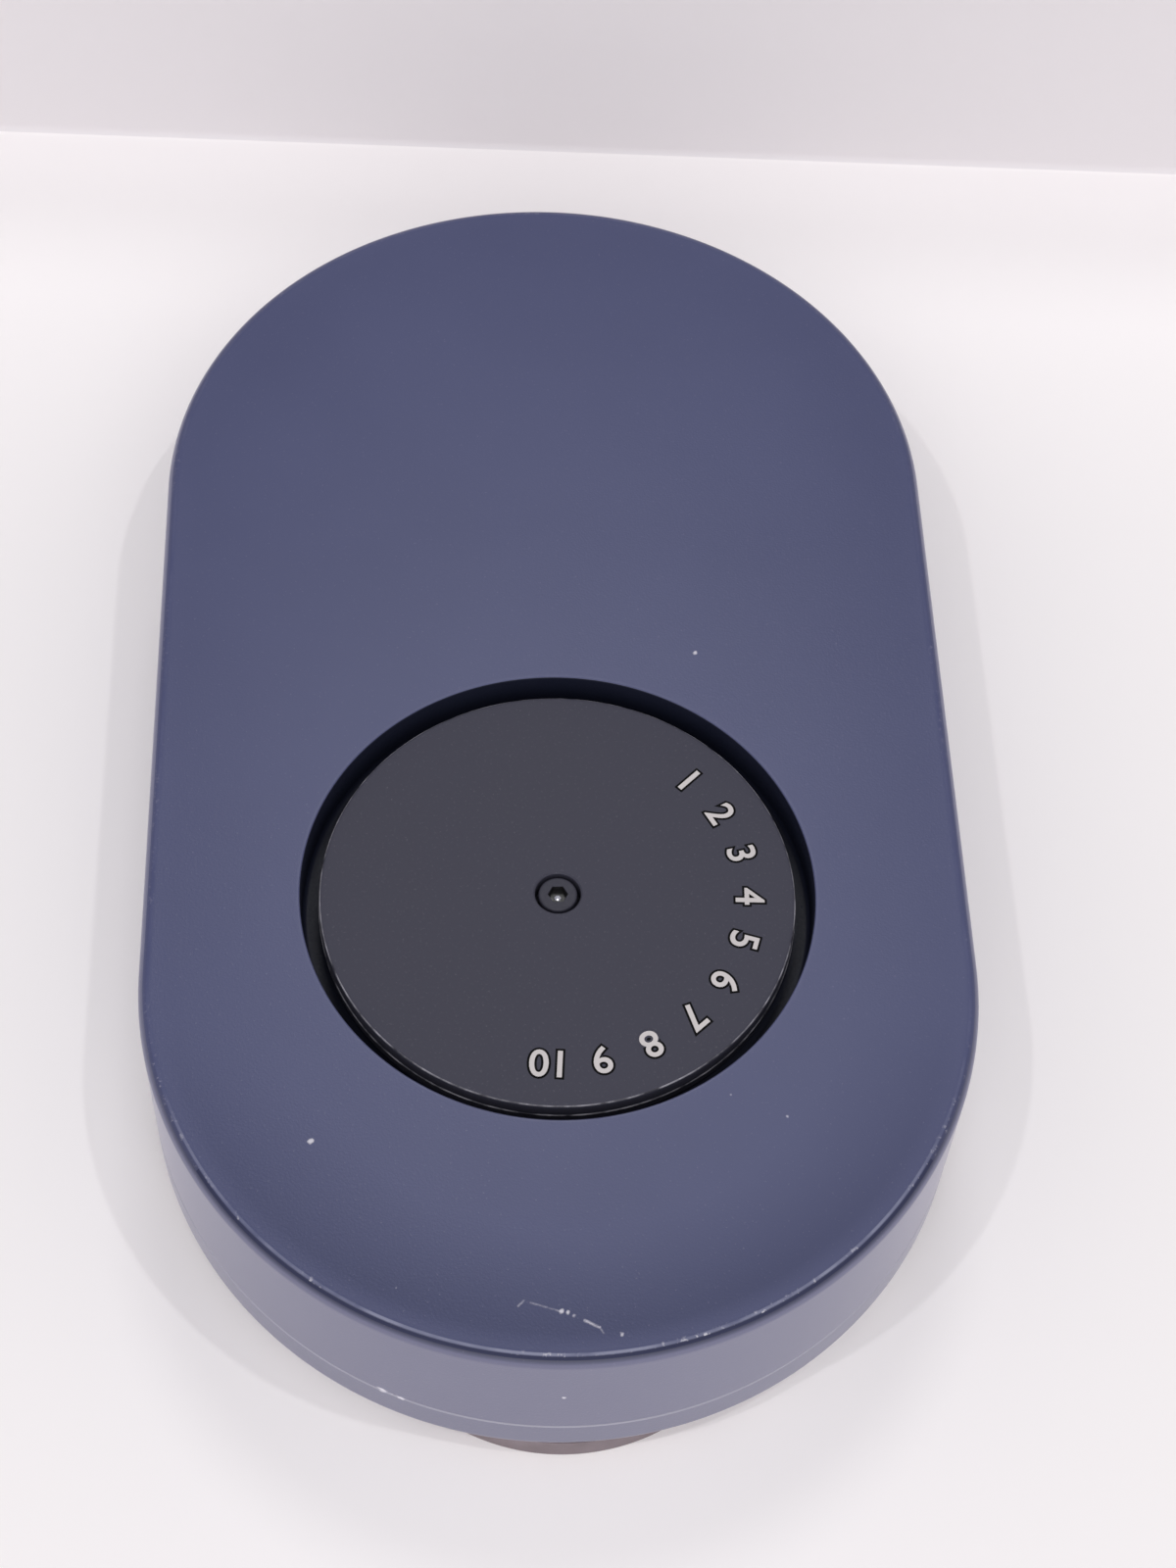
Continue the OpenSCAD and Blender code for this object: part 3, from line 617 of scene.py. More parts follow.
@dataclass(frozen=True)
class SoftTouchCoat:
    """Rubbery lacquer sprayed on moulded ABS.

    It looks matt and a little chalky: broad soft highlights, a pale sheen where the eye grazes
    it, a grain too fine to feel, a painted highlight along the start of a rounded edge and a
    painted reflection on its steep part, pale painted glints on the grain's peaks, and light spots
    where dust sticks. With a wear radius, the edge round the top face has spots of wear, and a wide
    band of painted shade darkens the top face behind the front edge.
    """

    name: str
    base: str
    cloud: str
    # Painted light: a reflection on an edge's steep part, then a highlight where the edge starts
    thick: str
    rubbed: str
    # Colour of wear and dust, and of the painted glints
    worn: str = "#c3c1cb"
    # Painted shade of the wide band behind the front edge
    built_up: str = "#2e345a"
    sheen_tint: str = "#ece8ee"
    roughness: float = 0.38
    gloss_change: float = 0.01
    sheen: float = 0.55
    sheen_roughness: float = 0.3
    specular: float = 0.5
    relief_mm: float = 0.012
    grain: Pattern = Pattern(0.25, 2.0, 0.6)
    glints: Span = Span(0.66, 0.8, 0.0, 0.12)
    clouds: tuple[Pattern, Span] = (Pattern(26.0, 3.0), Span(0.35, 0.65))
    gloss: tuple[Pattern, tuple[float, float]] = (Pattern(30.0, 2.0), MOST)
    wear_radius: float = 0.0
    wear_half: float = 0.0
    wear_height: float = 0.0
    wear_reach: tuple[float, float] = (0.1, 0.5)    # from the edge: full wear, and no wear
    wear_patches: tuple[Pattern, Span] = (Pattern(9.0, 2.0), Span(0.5, 0.62))
    wear_grains: tuple[Pattern, Span] = (Pattern(0.6, 2.0, 0.7), Span(0.56, 0.66, 0.0, 0.9))
    # Where the band of painted shade lies
    band_start: tuple[float, float] = (12.0, 3.0)   # in from the edge: band starts, and is full
    band_end: tuple[float, float] = (2.2, 0.6)      # in from the edge: band fades, and has faded
    band_left: float = 0.3                          # share of it that stays at the edge
    front: tuple[float, float] = (-26.0, -52.0)     # Y: wear and painted light start, and are full
    rear_share: float = 0.12                        # share of wear and painted light at the rear
    scuffs: tuple[Scuff, ...] = ()
    specks: tuple[Speck, ...] = ()

    def ahead(self, graph: Graph, place: bpy.types.NodeSocket) -> bpy.types.NodeSocket:
        """Grows from a little to one towards the front end.

        Args:
            graph: Nodes of the material.
            place: Object coordinates.

        Returns:
            One at the front end.
        """
        along = graph.add("SeparateXYZ", {0: place}, "Y")
        start, full = (y * MM for y in self.front)
        return graph.add("MapRange", Span(start, full, self.rear_share, 1.0).inputs(along))

    def edge_layers(self, graph: Graph,
                    place: bpy.types.NodeSocket) -> list[tuple[bpy.types.NodeSocket, str]]:
        """Marks the rounded edges by how far they turn from upright.

        Args:
            graph: Nodes of the material.
            place: Object coordinates.

        Returns:
            Mask and colour of painted light: a painted reflection where an edge is steep and a
            painted highlight, broken into patches, where it starts, most of all at the front end.
        """
        ahead = self.ahead(graph, place)
        normal = graph.add("NewGeometry", {}, "Normal")
        upright = graph.add("SeparateXYZ", {0: normal}, "Z")
        # Painted reflection on the steep part, painted highlight where the edge starts
        thick, rubbed = (both(graph, [ahead] + [
            graph.add("MapRange", span.inputs(upright)) for span in spans])
            for spans in (STEEP_EDGE_REFLECTION, EDGE_START_HIGHLIGHT))
        # Edges that face down get the painted highlight too
        under = graph.add("MapRange", LOOKS_DOWN.inputs(upright))
        rubbed = graph.add("Math", {0: rubbed, 1: under}, operation="MAXIMUM")
        patches = patchy(graph, place, HIGHLIGHT_BREAK_PATTERN, HIGHLIGHT_BREAK_PATCHES)
        return [(thick, self.thick), (both(graph, (patches, rubbed)), self.rubbed)]

    def off_middle(self, graph: Graph, place: bpy.types.NodeSocket) -> bpy.types.NodeSocket:
        """Measures how far a point lies from the line between the round ends' centres.

        Args:
            graph: Nodes of the material.
            place: Object coordinates.

        Returns:
            The distance in metres, seen from above.
        """
        x, y = (graph.add("SeparateXYZ", {0: place}, axis) for axis in "XY")
        off_y = graph.add("Math", {0: y}, operation="ABSOLUTE")
        past = graph.add("Math", {0: off_y, 1: self.wear_half * MM}, operation="SUBTRACT")
        past_end = graph.add("Math", {0: past, 1: 0.0}, operation="MAXIMUM")
        squares = [both(graph, (side, side)) for side in (x, past_end)]
        total = graph.add("Math", {0: squares[0], 1: squares[1]}, operation="ADD")
        return graph.add("Math", {0: total}, operation="SQRT")

    def build_up(self, graph: Graph, place: bpy.types.NodeSocket) -> bpy.types.NodeSocket:
        """Marks the wide band behind the front edge that gets a darker colour as painted shade.

        Args:
            graph: Nodes of the material.
            place: Object coordinates.

        Returns:
            One where the band is darkest.
        """
        off = self.off_middle(graph, place)
        rise = Span(*((self.wear_radius - inward) * MM for inward in self.band_start))
        fall = Span(*((self.wear_radius - inward) * MM for inward in self.band_end),
                    1.0, self.band_left)
        return both(graph, [self.ahead(graph, place)] + [
            graph.add("MapRange", span.inputs(off)) for span in (rise, fall)])

    def edge_mask(self, graph: Graph, place: bpy.types.NodeSocket) -> bpy.types.NodeSocket:
        """Marks the worn spots on the edge round the top face.

        Args:
            graph: Nodes of the material.
            place: Object coordinates.

        Returns:
            One on a worn spot, zero elsewhere.
        """
        height = graph.add("SeparateXYZ", {0: place}, "Z")
        edge = ((self.off_middle(graph, place), self.wear_radius), (height, self.wear_height))
        apart = []
        for measure, target in edge:
            gap = graph.add("Math", {0: measure, 1: target * MM}, operation="SUBTRACT")
            apart.append(graph.add("Math", {0: gap}, operation="ABSOLUTE"))
        from_edge = graph.add("Math", {0: apart[0], 1: apart[1]}, operation="ADD")
        full, gone = (reach * MM for reach in self.wear_reach)
        return both(graph, (self.ahead(graph, place),
                            graph.add("MapRange", Span(full, gone, 1.0, 0.0).inputs(from_edge)),
                            patchy(graph, place, *self.wear_patches),
                            patchy(graph, place, *self.wear_grains)))

    def material(self) -> bpy.types.Material:
        """Makes the material."""
        graph, place = start_material(self.name)
        layers = [(patchy(graph, place, *self.clouds), self.cloud)]
        if self.wear_radius:
            # Painted shade: a darker band behind the front edge
            layers.append((self.build_up(graph, place), self.built_up))
        layers += self.edge_layers(graph, place)
        grain = graph.add("TexNoise", self.grain.inputs(place))
        # Painted glints: pale specks on the grain's peaks
        layers.append((graph.add("MapRange", self.glints.inputs(grain)), self.worn))
        layers += [(mark.mask(graph, place), self.worn) for mark in self.scuffs + self.specks]
        if self.wear_radius:
            layers.append((self.edge_mask(graph, place), self.worn))
        pattern, middle = self.gloss
        gloss = Span(*middle, self.roughness - self.gloss_change,
                     self.roughness + self.gloss_change)
        return graph.finish({
            "Base Color": layered(graph, self.base, layers),
            "Roughness": patchy(graph, place, pattern, gloss),
            "Specular IOR Level": self.specular,
            "Sheen Weight": self.sheen,
            "Sheen Roughness": self.sheen_roughness,
            "Sheen Tint": linear(self.sheen_tint)}, grain, self.relief_mm)


@dataclass(frozen=True)
class MouldedPlastic:
    """Plastic from a fine-eroded mould: an even, low-sheen skin with a grain like fine sand."""

    name: str
    base: str
    cloud: str
    roughness: float = 0.5
    specular: float = 0.5
    cloud_mm: float = 11.0
    clouds: Span = Span(0.35, 0.65)
    grain_mm: float = 0.3
    relief_mm: float = 0.01
    gloss_change: float = 0.06

    def material(self) -> bpy.types.Material:
        """Makes the material."""
        graph, place = start_material(self.name)
        clouds = patchy(graph, place, Pattern(self.cloud_mm, 4.0), self.clouds)
        grain = graph.add("TexNoise", Pattern(self.grain_mm, 3.0, 0.6).inputs(place))
        gloss = Span(*MOST, self.roughness - self.gloss_change,
                     self.roughness + self.gloss_change)
        return graph.finish({
            "Base Color": layered(graph, self.base, [(clouds, self.cloud)]),
            "Roughness": graph.add("MapRange", gloss.inputs(grain)),
            "Specular IOR Level": self.specular}, grain, self.relief_mm)


@dataclass(frozen=True)
class TurnedPlate:
    """Dark filled plastic with a fine matt texture, rubbed a little by the mouse that stands on it.

    It shows as an even charcoal with faint paler strokes and a few grains of dust.
    """

    name: str
    base: str
    rubbed: str
    dust: str = "#8b8a92"
    clouds: tuple[Pattern, Span] = (Pattern(16.0, 3.0), Span(0.3, 0.75))
    grain: Pattern = Pattern(0.28, 3.0, 0.65)
    dusty: Span = Span(0.6, 0.8, 0.0, 0.22)
    gloss: Span = Span(0.0, 1.0, 0.5, 0.58)
    specular: float = 0.3
    relief_mm: float = 0.012

    def material(self) -> bpy.types.Material:
        """Makes the material."""
        graph, place = start_material(self.name)
        clouds = patchy(graph, place, *self.clouds)
        grain = graph.add("TexNoise", self.grain.inputs(place))
        dust = graph.add("MapRange", self.dusty.inputs(grain))
        return graph.finish({
            "Base Color": layered(graph, self.base, [(clouds, self.rubbed), (dust, self.dust)]),
            "Roughness": graph.add("MapRange", self.gloss.inputs(clouds)),
            "Specular IOR Level": self.specular}, grain, self.relief_mm)


@dataclass(frozen=True)
class MouldedRubber:
    """Silicone rubber from a blasted mould: a dull, dusty skin with soft mottling."""

    name: str
    base: str
    dusty: str
    dust: tuple[Pattern, Span] = (Pattern(5.0, 5.0, 0.6), Span(0.4, 0.7))
    gloss: Span = Span(0.0, 1.0, 0.8, 0.93)
    specular: float = 0.35
    grain: Pattern = Pattern(0.35, 3.0, 0.6)
    relief_mm: float = 0.02

    def material(self) -> bpy.types.Material:
        """Makes the material."""
        graph, place = start_material(self.name)
        dust = patchy(graph, place, *self.dust)
        grain = graph.add("TexNoise", self.grain.inputs(place))
        return graph.finish({
            "Base Color": layered(graph, self.base, [(dust, self.dusty)]),
            "Roughness": graph.add("MapRange", self.gloss.inputs(dust)),
            "Specular IOR Level": self.specular}, grain, self.relief_mm)


@dataclass(frozen=True)
class WorkedMetal:
    """Metal with the marks of how it was made: fine scratches drawn out along one axis."""

    name: str
    base: str
    dark: str
    roughness: float
    stretch: tuple[float, float, float] = (1.0, 1.0, 14.0)
    scratches: Pattern = Pattern(0.25, 4.0, 0.65)
    stains: tuple[Pattern, Span] = (Pattern(3.5, 3.0), Span(0.35, 0.7))
    gloss_change: tuple[float, float] = (0.07, 0.1)  # glossier and duller by this much
    relief_mm: float = 0.004

    def material(self) -> bpy.types.Material:
        """Makes the material."""
        graph, place = start_material(self.name)
        drawn = graph.add("Mapping", {"Vector": place,
                                      "Scale": tuple(1 / s for s in self.stretch)})
        scratches = graph.add("TexNoise", self.scratches.inputs(drawn))
        stains = patchy(graph, place, *self.stains)
        glossier, duller = self.gloss_change
        gloss = Span(*MOST, self.roughness - glossier, self.roughness + duller)
        return graph.finish({
            "Base Color": layered(graph, self.base, [(stains, self.dark)]),
            "Roughness": graph.add("MapRange", gloss.inputs(scratches)),
            "Metallic": 1.0}, scratches, self.relief_mm)


@dataclass(frozen=True)
class SolderResist:
    """Lacquered glass laminate: a glossy green film over a faint woven relief and copper tracks."""

    name: str
    base: str
    track: str
    pitch_mm: float = 10.4                          # unit of the tracks' brick pattern
    track_width: float = 0.03                       # in that unit
    weave_mm: float = 0.5
    roughness: float = 0.3
    relief_mm: float = 0.005

    def material(self) -> bpy.types.Material:
        """Makes the material."""
        graph, place = start_material(self.name)
        board, copper = (0, 0, 0, 1), (1, 1, 1, 1)
        tracks = graph.add("TexBrick", {
            "Vector": place, "Scale": per_metre(self.pitch_mm), "Mortar Size": self.track_width,
            "Color1": board, "Color2": board, "Mortar": copper}, "Color")
        weave = graph.add("TexWave", {"Vector": place,
                                      "Scale": per_metre(self.weave_mm) / math.tau}, "Fac")
        return graph.finish({
            "Base Color": layered(graph, self.base, [(tracks, self.track)]),
            "Roughness": self.roughness}, weave, self.relief_mm)


# ---- Sizes taken from the frame ------------------------------------------------------------

@dataclass(frozen=True)
class Reach:
    """The box of a CAD node in millimetres."""

    low: tuple[float, float, float]
    high: tuple[float, float, float]

    @classmethod
    def of(cls, node: str) -> "Reach":
        """Measures a node of the frame.

        Args:
            node: Name of the node.

        Returns:
            Its box.
        """
        low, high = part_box(node)
        return cls(tuple(round(v / MM, 3) for v in low), tuple(round(v / MM, 3) for v in high))

    def middle(self, axis: int) -> float:
        """Gives the middle of the box along an axis.

        Args:
            axis: Number of the axis.

        Returns:
            The middle in millimetres.
        """
        return (self.low[axis] + self.high[axis]) / 2

    def width(self, axis: int) -> float:
        """Gives the length of the box along an axis.

        Args:
            axis: Number of the axis.

        Returns:
            The length in millimetres.
        """
        return self.high[axis] - self.low[axis]


UPPER = Reach.of("top_shell")
LOWER = Reach.of("bottom_shell")
PAD = Reach.of("base_pad")
TABLE = Reach.of("turntable")
END_RADIUS = UPPER.width(0) / 2
END_HALF = UPPER.width(1) / 2 - END_RADIUS          # distance of each round end's centre
SEAM_DROP = 0.6                                     # the parting line lies below the tongue's top
SEAM_Z = LOWER.high[2] - SEAM_DROP
TABLE_Y = TABLE.middle(1)
SCREW_X, SCREW_Y = 29.0, 47.0                       # case screws, off the middle both ways
CASE_SCREWS = [(x, y) for x in (-SCREW_X, SCREW_X) for y in (-SCREW_Y, SCREW_Y)]
PAST = 1.0                                          # how far a tool or boss runs past a face


# ---- Housing -------------------------------------------------------------------------------

class ShellPart(Enum):
    """Parts of the upper shell with a finish of their own, by their material's number.

    The sides' lighter coat is a painted reflection, the front rounding's dark coat a painted dark
    reflection, and the well's dark plastic a painted shade.
    """

    SIDE = 1
    ROUNDING = 2
    BARE = 3


@dataclass(frozen=True)
class ShellFinishes:
    """Finishes of the upper shell: its coat on the top, a lighter copy on the sides as a painted
    reflection, a dark one on the front rounding as a painted dark reflection, and dark plastic for
    the unsprayed inside and, as painted shade, for the well.
    """

    top: bpy.types.Material
    side: bpy.types.Material
    rounding: bpy.types.Material
    bare: bpy.types.Material


@dataclass
class UpperShell:
    """Upper shell: coated cover with the round well, sizes in millimetres."""

    wall: float = 2.0
    roof: float = 2.0
    edge: float = 1.15
    seam_chamfer: float = 0.15
    rebate_r: float = 39.05
    rebate_h: float = 1.15
    well_r: float = 24.9
    well_floor: float = 17.7
    well_edge: float = 0.22
    cup_r: float = 26.4
    cup_floor: float = 16.1
    hub_hole_r: float = 4.3
    boss_r: float = 3.0
    boss_low: float = 8.1
    screw_hole_r: float = 1.3
    screw_hole_top: float = 15.1
    inner_round: float = 0.5
    cup_round: float = 0.4
    cup_chamfer: float = 0.3
    hub_chamfer: float = 0.15
    deck_rim: float = 8.0                           # the deck's outer ring, in from the side
    ceiling_rim: float = 3.0                        # the ceiling's outer ring, in from the wall
    well_margin: float = 1.2                        # ring round the well, where the deck ends
    cup_margin: float = 1.0                         # ring round the cup, where the ceiling ends
    edge_steps: int = 18
    side_below: float = 0.8                         # less upright normals get the side's coat
    rounding_below: float = 0.95                    # less upright ones in front, the rounding's
    front_y: float = -50.0                          # where the front starts

    def skin(self) -> bpy.types.Object:
        """Sweeps the wall and the roof's edge round the pill."""
        top = UPPER.high[2]
        ceiling = top - self.roof
        inner = END_RADIUS - self.wall
        flat = END_RADIUS - self.deck_rim
        edge_z = top - self.edge
        shoulder = END_RADIUS - self.edge
        turning = Turning("upper_shell", ROUND_SIDES, flat, top)
        turning.to(shoulder - 0.25, top)
        turning.arc(shoulder, edge_z, self.edge, 90, 0, self.edge_steps)
        chamfer_top = SEAM_Z + self.seam_chamfer
        turning.to(END_RADIUS, edge_z - SUPPORT)
        turning.to(END_RADIUS, (edge_z + chamfer_top) / 2)
        turning.to(END_RADIUS, chamfer_top + SUPPORT)
        turning.to(END_RADIUS, chamfer_top)
        turning.to(END_RADIUS - self.seam_chamfer, SEAM_Z)
        turning.to(self.rebate_r, SEAM_Z)
        turning.to(self.rebate_r, SEAM_Z + self.rebate_h)
        turning.to(inner, SEAM_Z + self.rebate_h)
        bend = self.inner_round
        turning.to(inner, ceiling - 2 * bend)
        turning.arc(inner - bend, ceiling - bend, bend, 0, 90, 4)
        turning.to(inner - self.ceiling_rim, ceiling)
        turning.stretch(END_HALF)
        gather_rim(turning.piece, top, flat, self.well_r + self.well_edge + self.well_margin)
        gather_rim(turning.piece, ceiling, inner - self.ceiling_rim,
                   self.cup_r + self.cup_margin)
        return turning.open_ended()

    def well(self) -> bpy.types.Object:
        """Turns the well and the cup round it."""
        top = UPPER.high[2]
        ceiling = top - self.roof
        rim = self.well_r + self.well_edge
        bend = self.inner_round
        turning = Turning("well", ROUND_SIDES, rim + self.well_margin, top)
        turning.to(rim + 0.2, top)
        turning.arc(rim, top - self.well_edge, self.well_edge, 90, 180, 6)
        turning.to(self.well_r, top - 0.8)
        turning.to(self.well_r, self.well_floor + 0.8)
        turning.arc(self.well_r - bend, self.well_floor + bend, bend, 0, -90, 5)
        turning.to(self.well_r - 3 * bend, self.well_floor)
        turning.to(self.hub_hole_r + 0.4, self.well_floor)
        turning.to(self.hub_hole_r + self.hub_chamfer, self.well_floor)
        turning.to(self.hub_hole_r, self.well_floor - self.hub_chamfer)
        turning.to(self.hub_hole_r, self.cup_floor)
        turning.to(self.cup_r - self.cup_chamfer, self.cup_floor)
        turning.to(self.cup_r, self.cup_floor + self.cup_chamfer)
        turning.to(self.cup_r, ceiling - self.cup_round)
        turning.arc(self.cup_r + self.cup_round, ceiling - self.cup_round, self.cup_round,
                    180, 90, 4)
        turning.to(self.cup_r + self.cup_margin, ceiling)
        piece = turning.open_ended()
        return place_mesh(piece, Matrix.Translation((0, TABLE_Y * MM, 0)))

    def part_finishes(self, piece: bpy.types.Object, finishes: ShellFinishes) -> None:
        """Gives the sides a lighter coat as painted reflection and the front rounding a dark one as
        painted dark reflection, and gives dark plastic to the unsprayed inside and, as painted
        shade, to the well.

        Args:
            piece: The upper shell.
            finishes: Its finishes.
        """
        for material in (finishes.side, finishes.rounding, finishes.bare):
            piece.data.materials.append(material)
        top = UPPER.high[2]
        for face in piece.data.polygons:
            x, y, z = (v / MM for v in face.center)
            in_well = math.hypot(x, y - TABLE_Y) < self.well_r + self.well_edge / 3
            off_end = math.hypot(x, max(abs(y) - END_HALF, 0))
            inside = off_end < END_RADIUS - self.edge and z < top - self.roof / 2
            # The well gets the dark plastic as painted shade; the unsprayed inside gets it too
            if (in_well and z < top - self.well_edge / 3) or inside:
                face.material_index = ShellPart.BARE.value
            elif off_end > END_RADIUS - self.edge:
                # Side: lighter coat, painted reflection; front rounding: painted dark reflection
                if face.normal.z < self.side_below:
                    face.material_index = ShellPart.SIDE.value
                elif face.normal.z < self.rounding_below and y < self.front_y:
                    face.material_index = ShellPart.ROUNDING.value

    def build(self, finishes: ShellFinishes) -> bpy.types.Object:
        """Joins skin and well, adds the bosses and opens the rear wall.

        Args:
            finishes: Finishes of the top, the sides, the rounding and the inside.

        Returns:
            The finished upper shell.
        """
        piece = join_pieces([self.skin(), self.well()])
        face_out(piece)
        for at in CASE_SCREWS:
            combine(piece, rod("boss", self.boss_r, self.boss_low, UPPER.high[2] - PAST, at),
                    Join.ADD)
            combine(piece, rod("bore", self.screw_hole_r, self.boss_low - PAST,
                               self.screw_hole_top, at), Join.CUT)
        combine(piece, inlet_opening(), Join.CUT)
        combine(piece, PowerButton().opening(), Join.CUT)
        finish_piece(piece, finishes.top)
        self.part_finishes(piece, finishes)
        return piece


def gather_rim(piece: bpy.types.Object, level: float, rim: float, radius: float) -> None:
    """Draws an open pill-shaped rim together, in its own plane, to the circle round the well.

    Args:
        piece: Object in edit mode.
        level: Height of the rim.
        rim: Radius of the rim's ends.
        radius: Radius of the circle.
    """
    half_way = 0.5
    select_rims(piece, lambda middle: abs(middle.z - level * MM) < LEVEL * MM)
    bpy.ops.mesh.extrude_edges_move()
    bpy.ops.transform.resize(value=(half_way, half_way, 1), center_override=(0, 0, level * MM))

    def on_ring(place: Vector) -> bool:
        """Says whether a point lies on the ring that was just made."""
        flat_y = max(abs(place.y) - END_HALF * half_way * MM, 0)
        return (abs(place.z - level * MM) < LEVEL * MM
                and math.hypot(place.x, flat_y) < (half_way * rim + 0.5) * MM)

    for side in (1, -1):
        select_points(piece, lambda place: place.y * side > 0 and on_ring(place))
        bpy.ops.transform.translate(value=(0, -side * END_HALF * half_way * MM, 0))
    select_points(piece, on_ring)
    scale = radius / (rim * half_way)
    bpy.ops.transform.resize(value=(scale, scale, 1), center_override=(0, 0, level * MM))
    bpy.ops.transform.translate(value=(0, TABLE_Y * MM, 0))


def inlet_opening() -> bpy.types.Object:
    """Makes the tool that opens the rear wall for the power inlet."""
    gap, depth, outside = 0.27, 4, 0.5              # gap round the shell, and the tool's own reach
    shell = Reach.of("usb_shell")
    height = shell.width(2) + 2 * gap
    straight = (shell.width(0) - shell.width(2)) / 2
    turning = Turning("inlet_opening", SMALL_SIDES, height / 2, 0)
    turning.to(height / 2, depth)
    piece = turning.closed()
    pick(piece)
    bpy.ops.object.mode_set(mode="EDIT")
    for side in (1, -1):
        select_points(piece, lambda place: place.y * side > 0)
        bpy.ops.transform.translate(value=(0, side * straight * MM, 0))
    bpy.ops.object.mode_set(mode="OBJECT")
    across = Matrix.Rotation(math.radians(90), 4, "Z")
    lay = Matrix.Rotation(math.radians(90), 4, "X")
    move = Matrix.Translation((0, (UPPER.high[1] + outside) * MM, shell.middle(2) * MM))
    return place_mesh(piece, move @ lay @ across)


@dataclass
class LowerShell:
    """Lower shell: the floor with the lip that shows below the parting line."""

    wall: float = 2.0
    floor: float = 2.0
    under: float = 0.45
    seam_chamfer: float = 0.3
    tongue: float = 0.9
    post_r: float = 3.4
    post_top: float = 8.0
    head_bore_r: float = 2.45
    head_seat: float = 5.6
    screw_bore_r: float = 1.4
    board_post_r: float = 2.5
    board_z: float = 8.0
    board_bore_r: float = 0.97
    board_posts: tuple[tuple[float, float], ...] = ((-19.0, 37.0), (19.0, 37.0), (-14.0, 58.0))
    board_bore_depth: float = 3.1
    tongue_chamfer: float = 0.15
    inner_round: float = 0.5

    def build(self, material: bpy.types.Material) -> bpy.types.Object:
        """Sweeps the shell, sets its posts and bores them.

        Args:
            material: The coat.

        Returns:
            The finished lower shell.
        """
        low, tongue_top = LOWER.low[2], LOWER.high[2]
        inner = END_RADIUS - self.wall
        turning = Turning("lower_shell", ROUND_SIDES, END_RADIUS - self.under - 1.5, low)
        turning.to(END_RADIUS - self.under - 0.2, low)
        turning.arc(END_RADIUS - self.under, low + self.under, self.under, -90, 0, 5)
        turning.to(END_RADIUS, low + self.under + SUPPORT)
        turning.to(END_RADIUS, SEAM_Z - self.seam_chamfer - SUPPORT)
        turning.to(END_RADIUS, SEAM_Z - self.seam_chamfer)
        turning.to(END_RADIUS - self.seam_chamfer, SEAM_Z)
        turning.to(inner + self.tongue, SEAM_Z)
        turning.to(inner + self.tongue, tongue_top - self.tongue_chamfer)
        turning.to(inner + self.tongue - self.tongue_chamfer, tongue_top)
        turning.to(inner, tongue_top)
        bend = self.inner_round
        turning.to(inner, low + self.floor + bend)
        turning.arc(inner - bend, low + self.floor + bend, bend, 0, -90, 4)
        turning.to(inner - 3 * bend, low + self.floor)
        piece = turning.stretch(END_HALF).closed()
        for at in CASE_SCREWS:
            combine(piece, rod("post", self.post_r, low + PAST, self.post_top, at), Join.ADD)
        for at in self.board_posts:
            combine(piece, rod("post", self.board_post_r, low + PAST, self.board_z, at),
                    Join.ADD)
        for at in CASE_SCREWS:
            combine(piece, rod("counterbore", self.head_bore_r, low - PAST, self.head_seat, at),
                    Join.CUT)
            combine(piece, rod("bore", self.screw_bore_r, low, self.post_top + PAST, at),
                    Join.CUT)
        for at in self.board_posts:
            combine(piece, rod("bore", self.board_bore_r, self.board_z - self.board_bore_depth,
                               self.board_z + PAST, at), Join.CUT)
        return finish_piece(piece, material)


@dataclass
class BasePad:
    """Rubber pad under the housing."""

    edge: float = 0.12
    longer: float = 0.12       # each end, past the solid, to meet the foot's outline as seen

    def build(self, material: bpy.types.Material) -> bpy.types.Object:
        """Sweeps the pad.

        Args:
            material: The rubber.

        Returns:
            The finished pad.
        """
        radius = PAD.width(0) / 2
        half = PAD.width(1) / 2 - radius + self.longer
        low, high = PAD.low[2], PAD.high[2]
        turning = Turning("rubber_pad", ROUND_SIDES, radius - self.edge - 1.2, low)
        turning.to(radius - self.edge - 0.05, low)
        turning.arc(radius - self.edge, low + self.edge, self.edge, -90, 0, 6)
        turning.to(radius, low + self.edge + 0.1).to(radius, high - 0.3)
        turning.to(radius, high).to(radius - 1, high)
        return finish_piece(turning.stretch(half).closed(), material)


# ---- Turntable -----------------------------------------------------------------------------

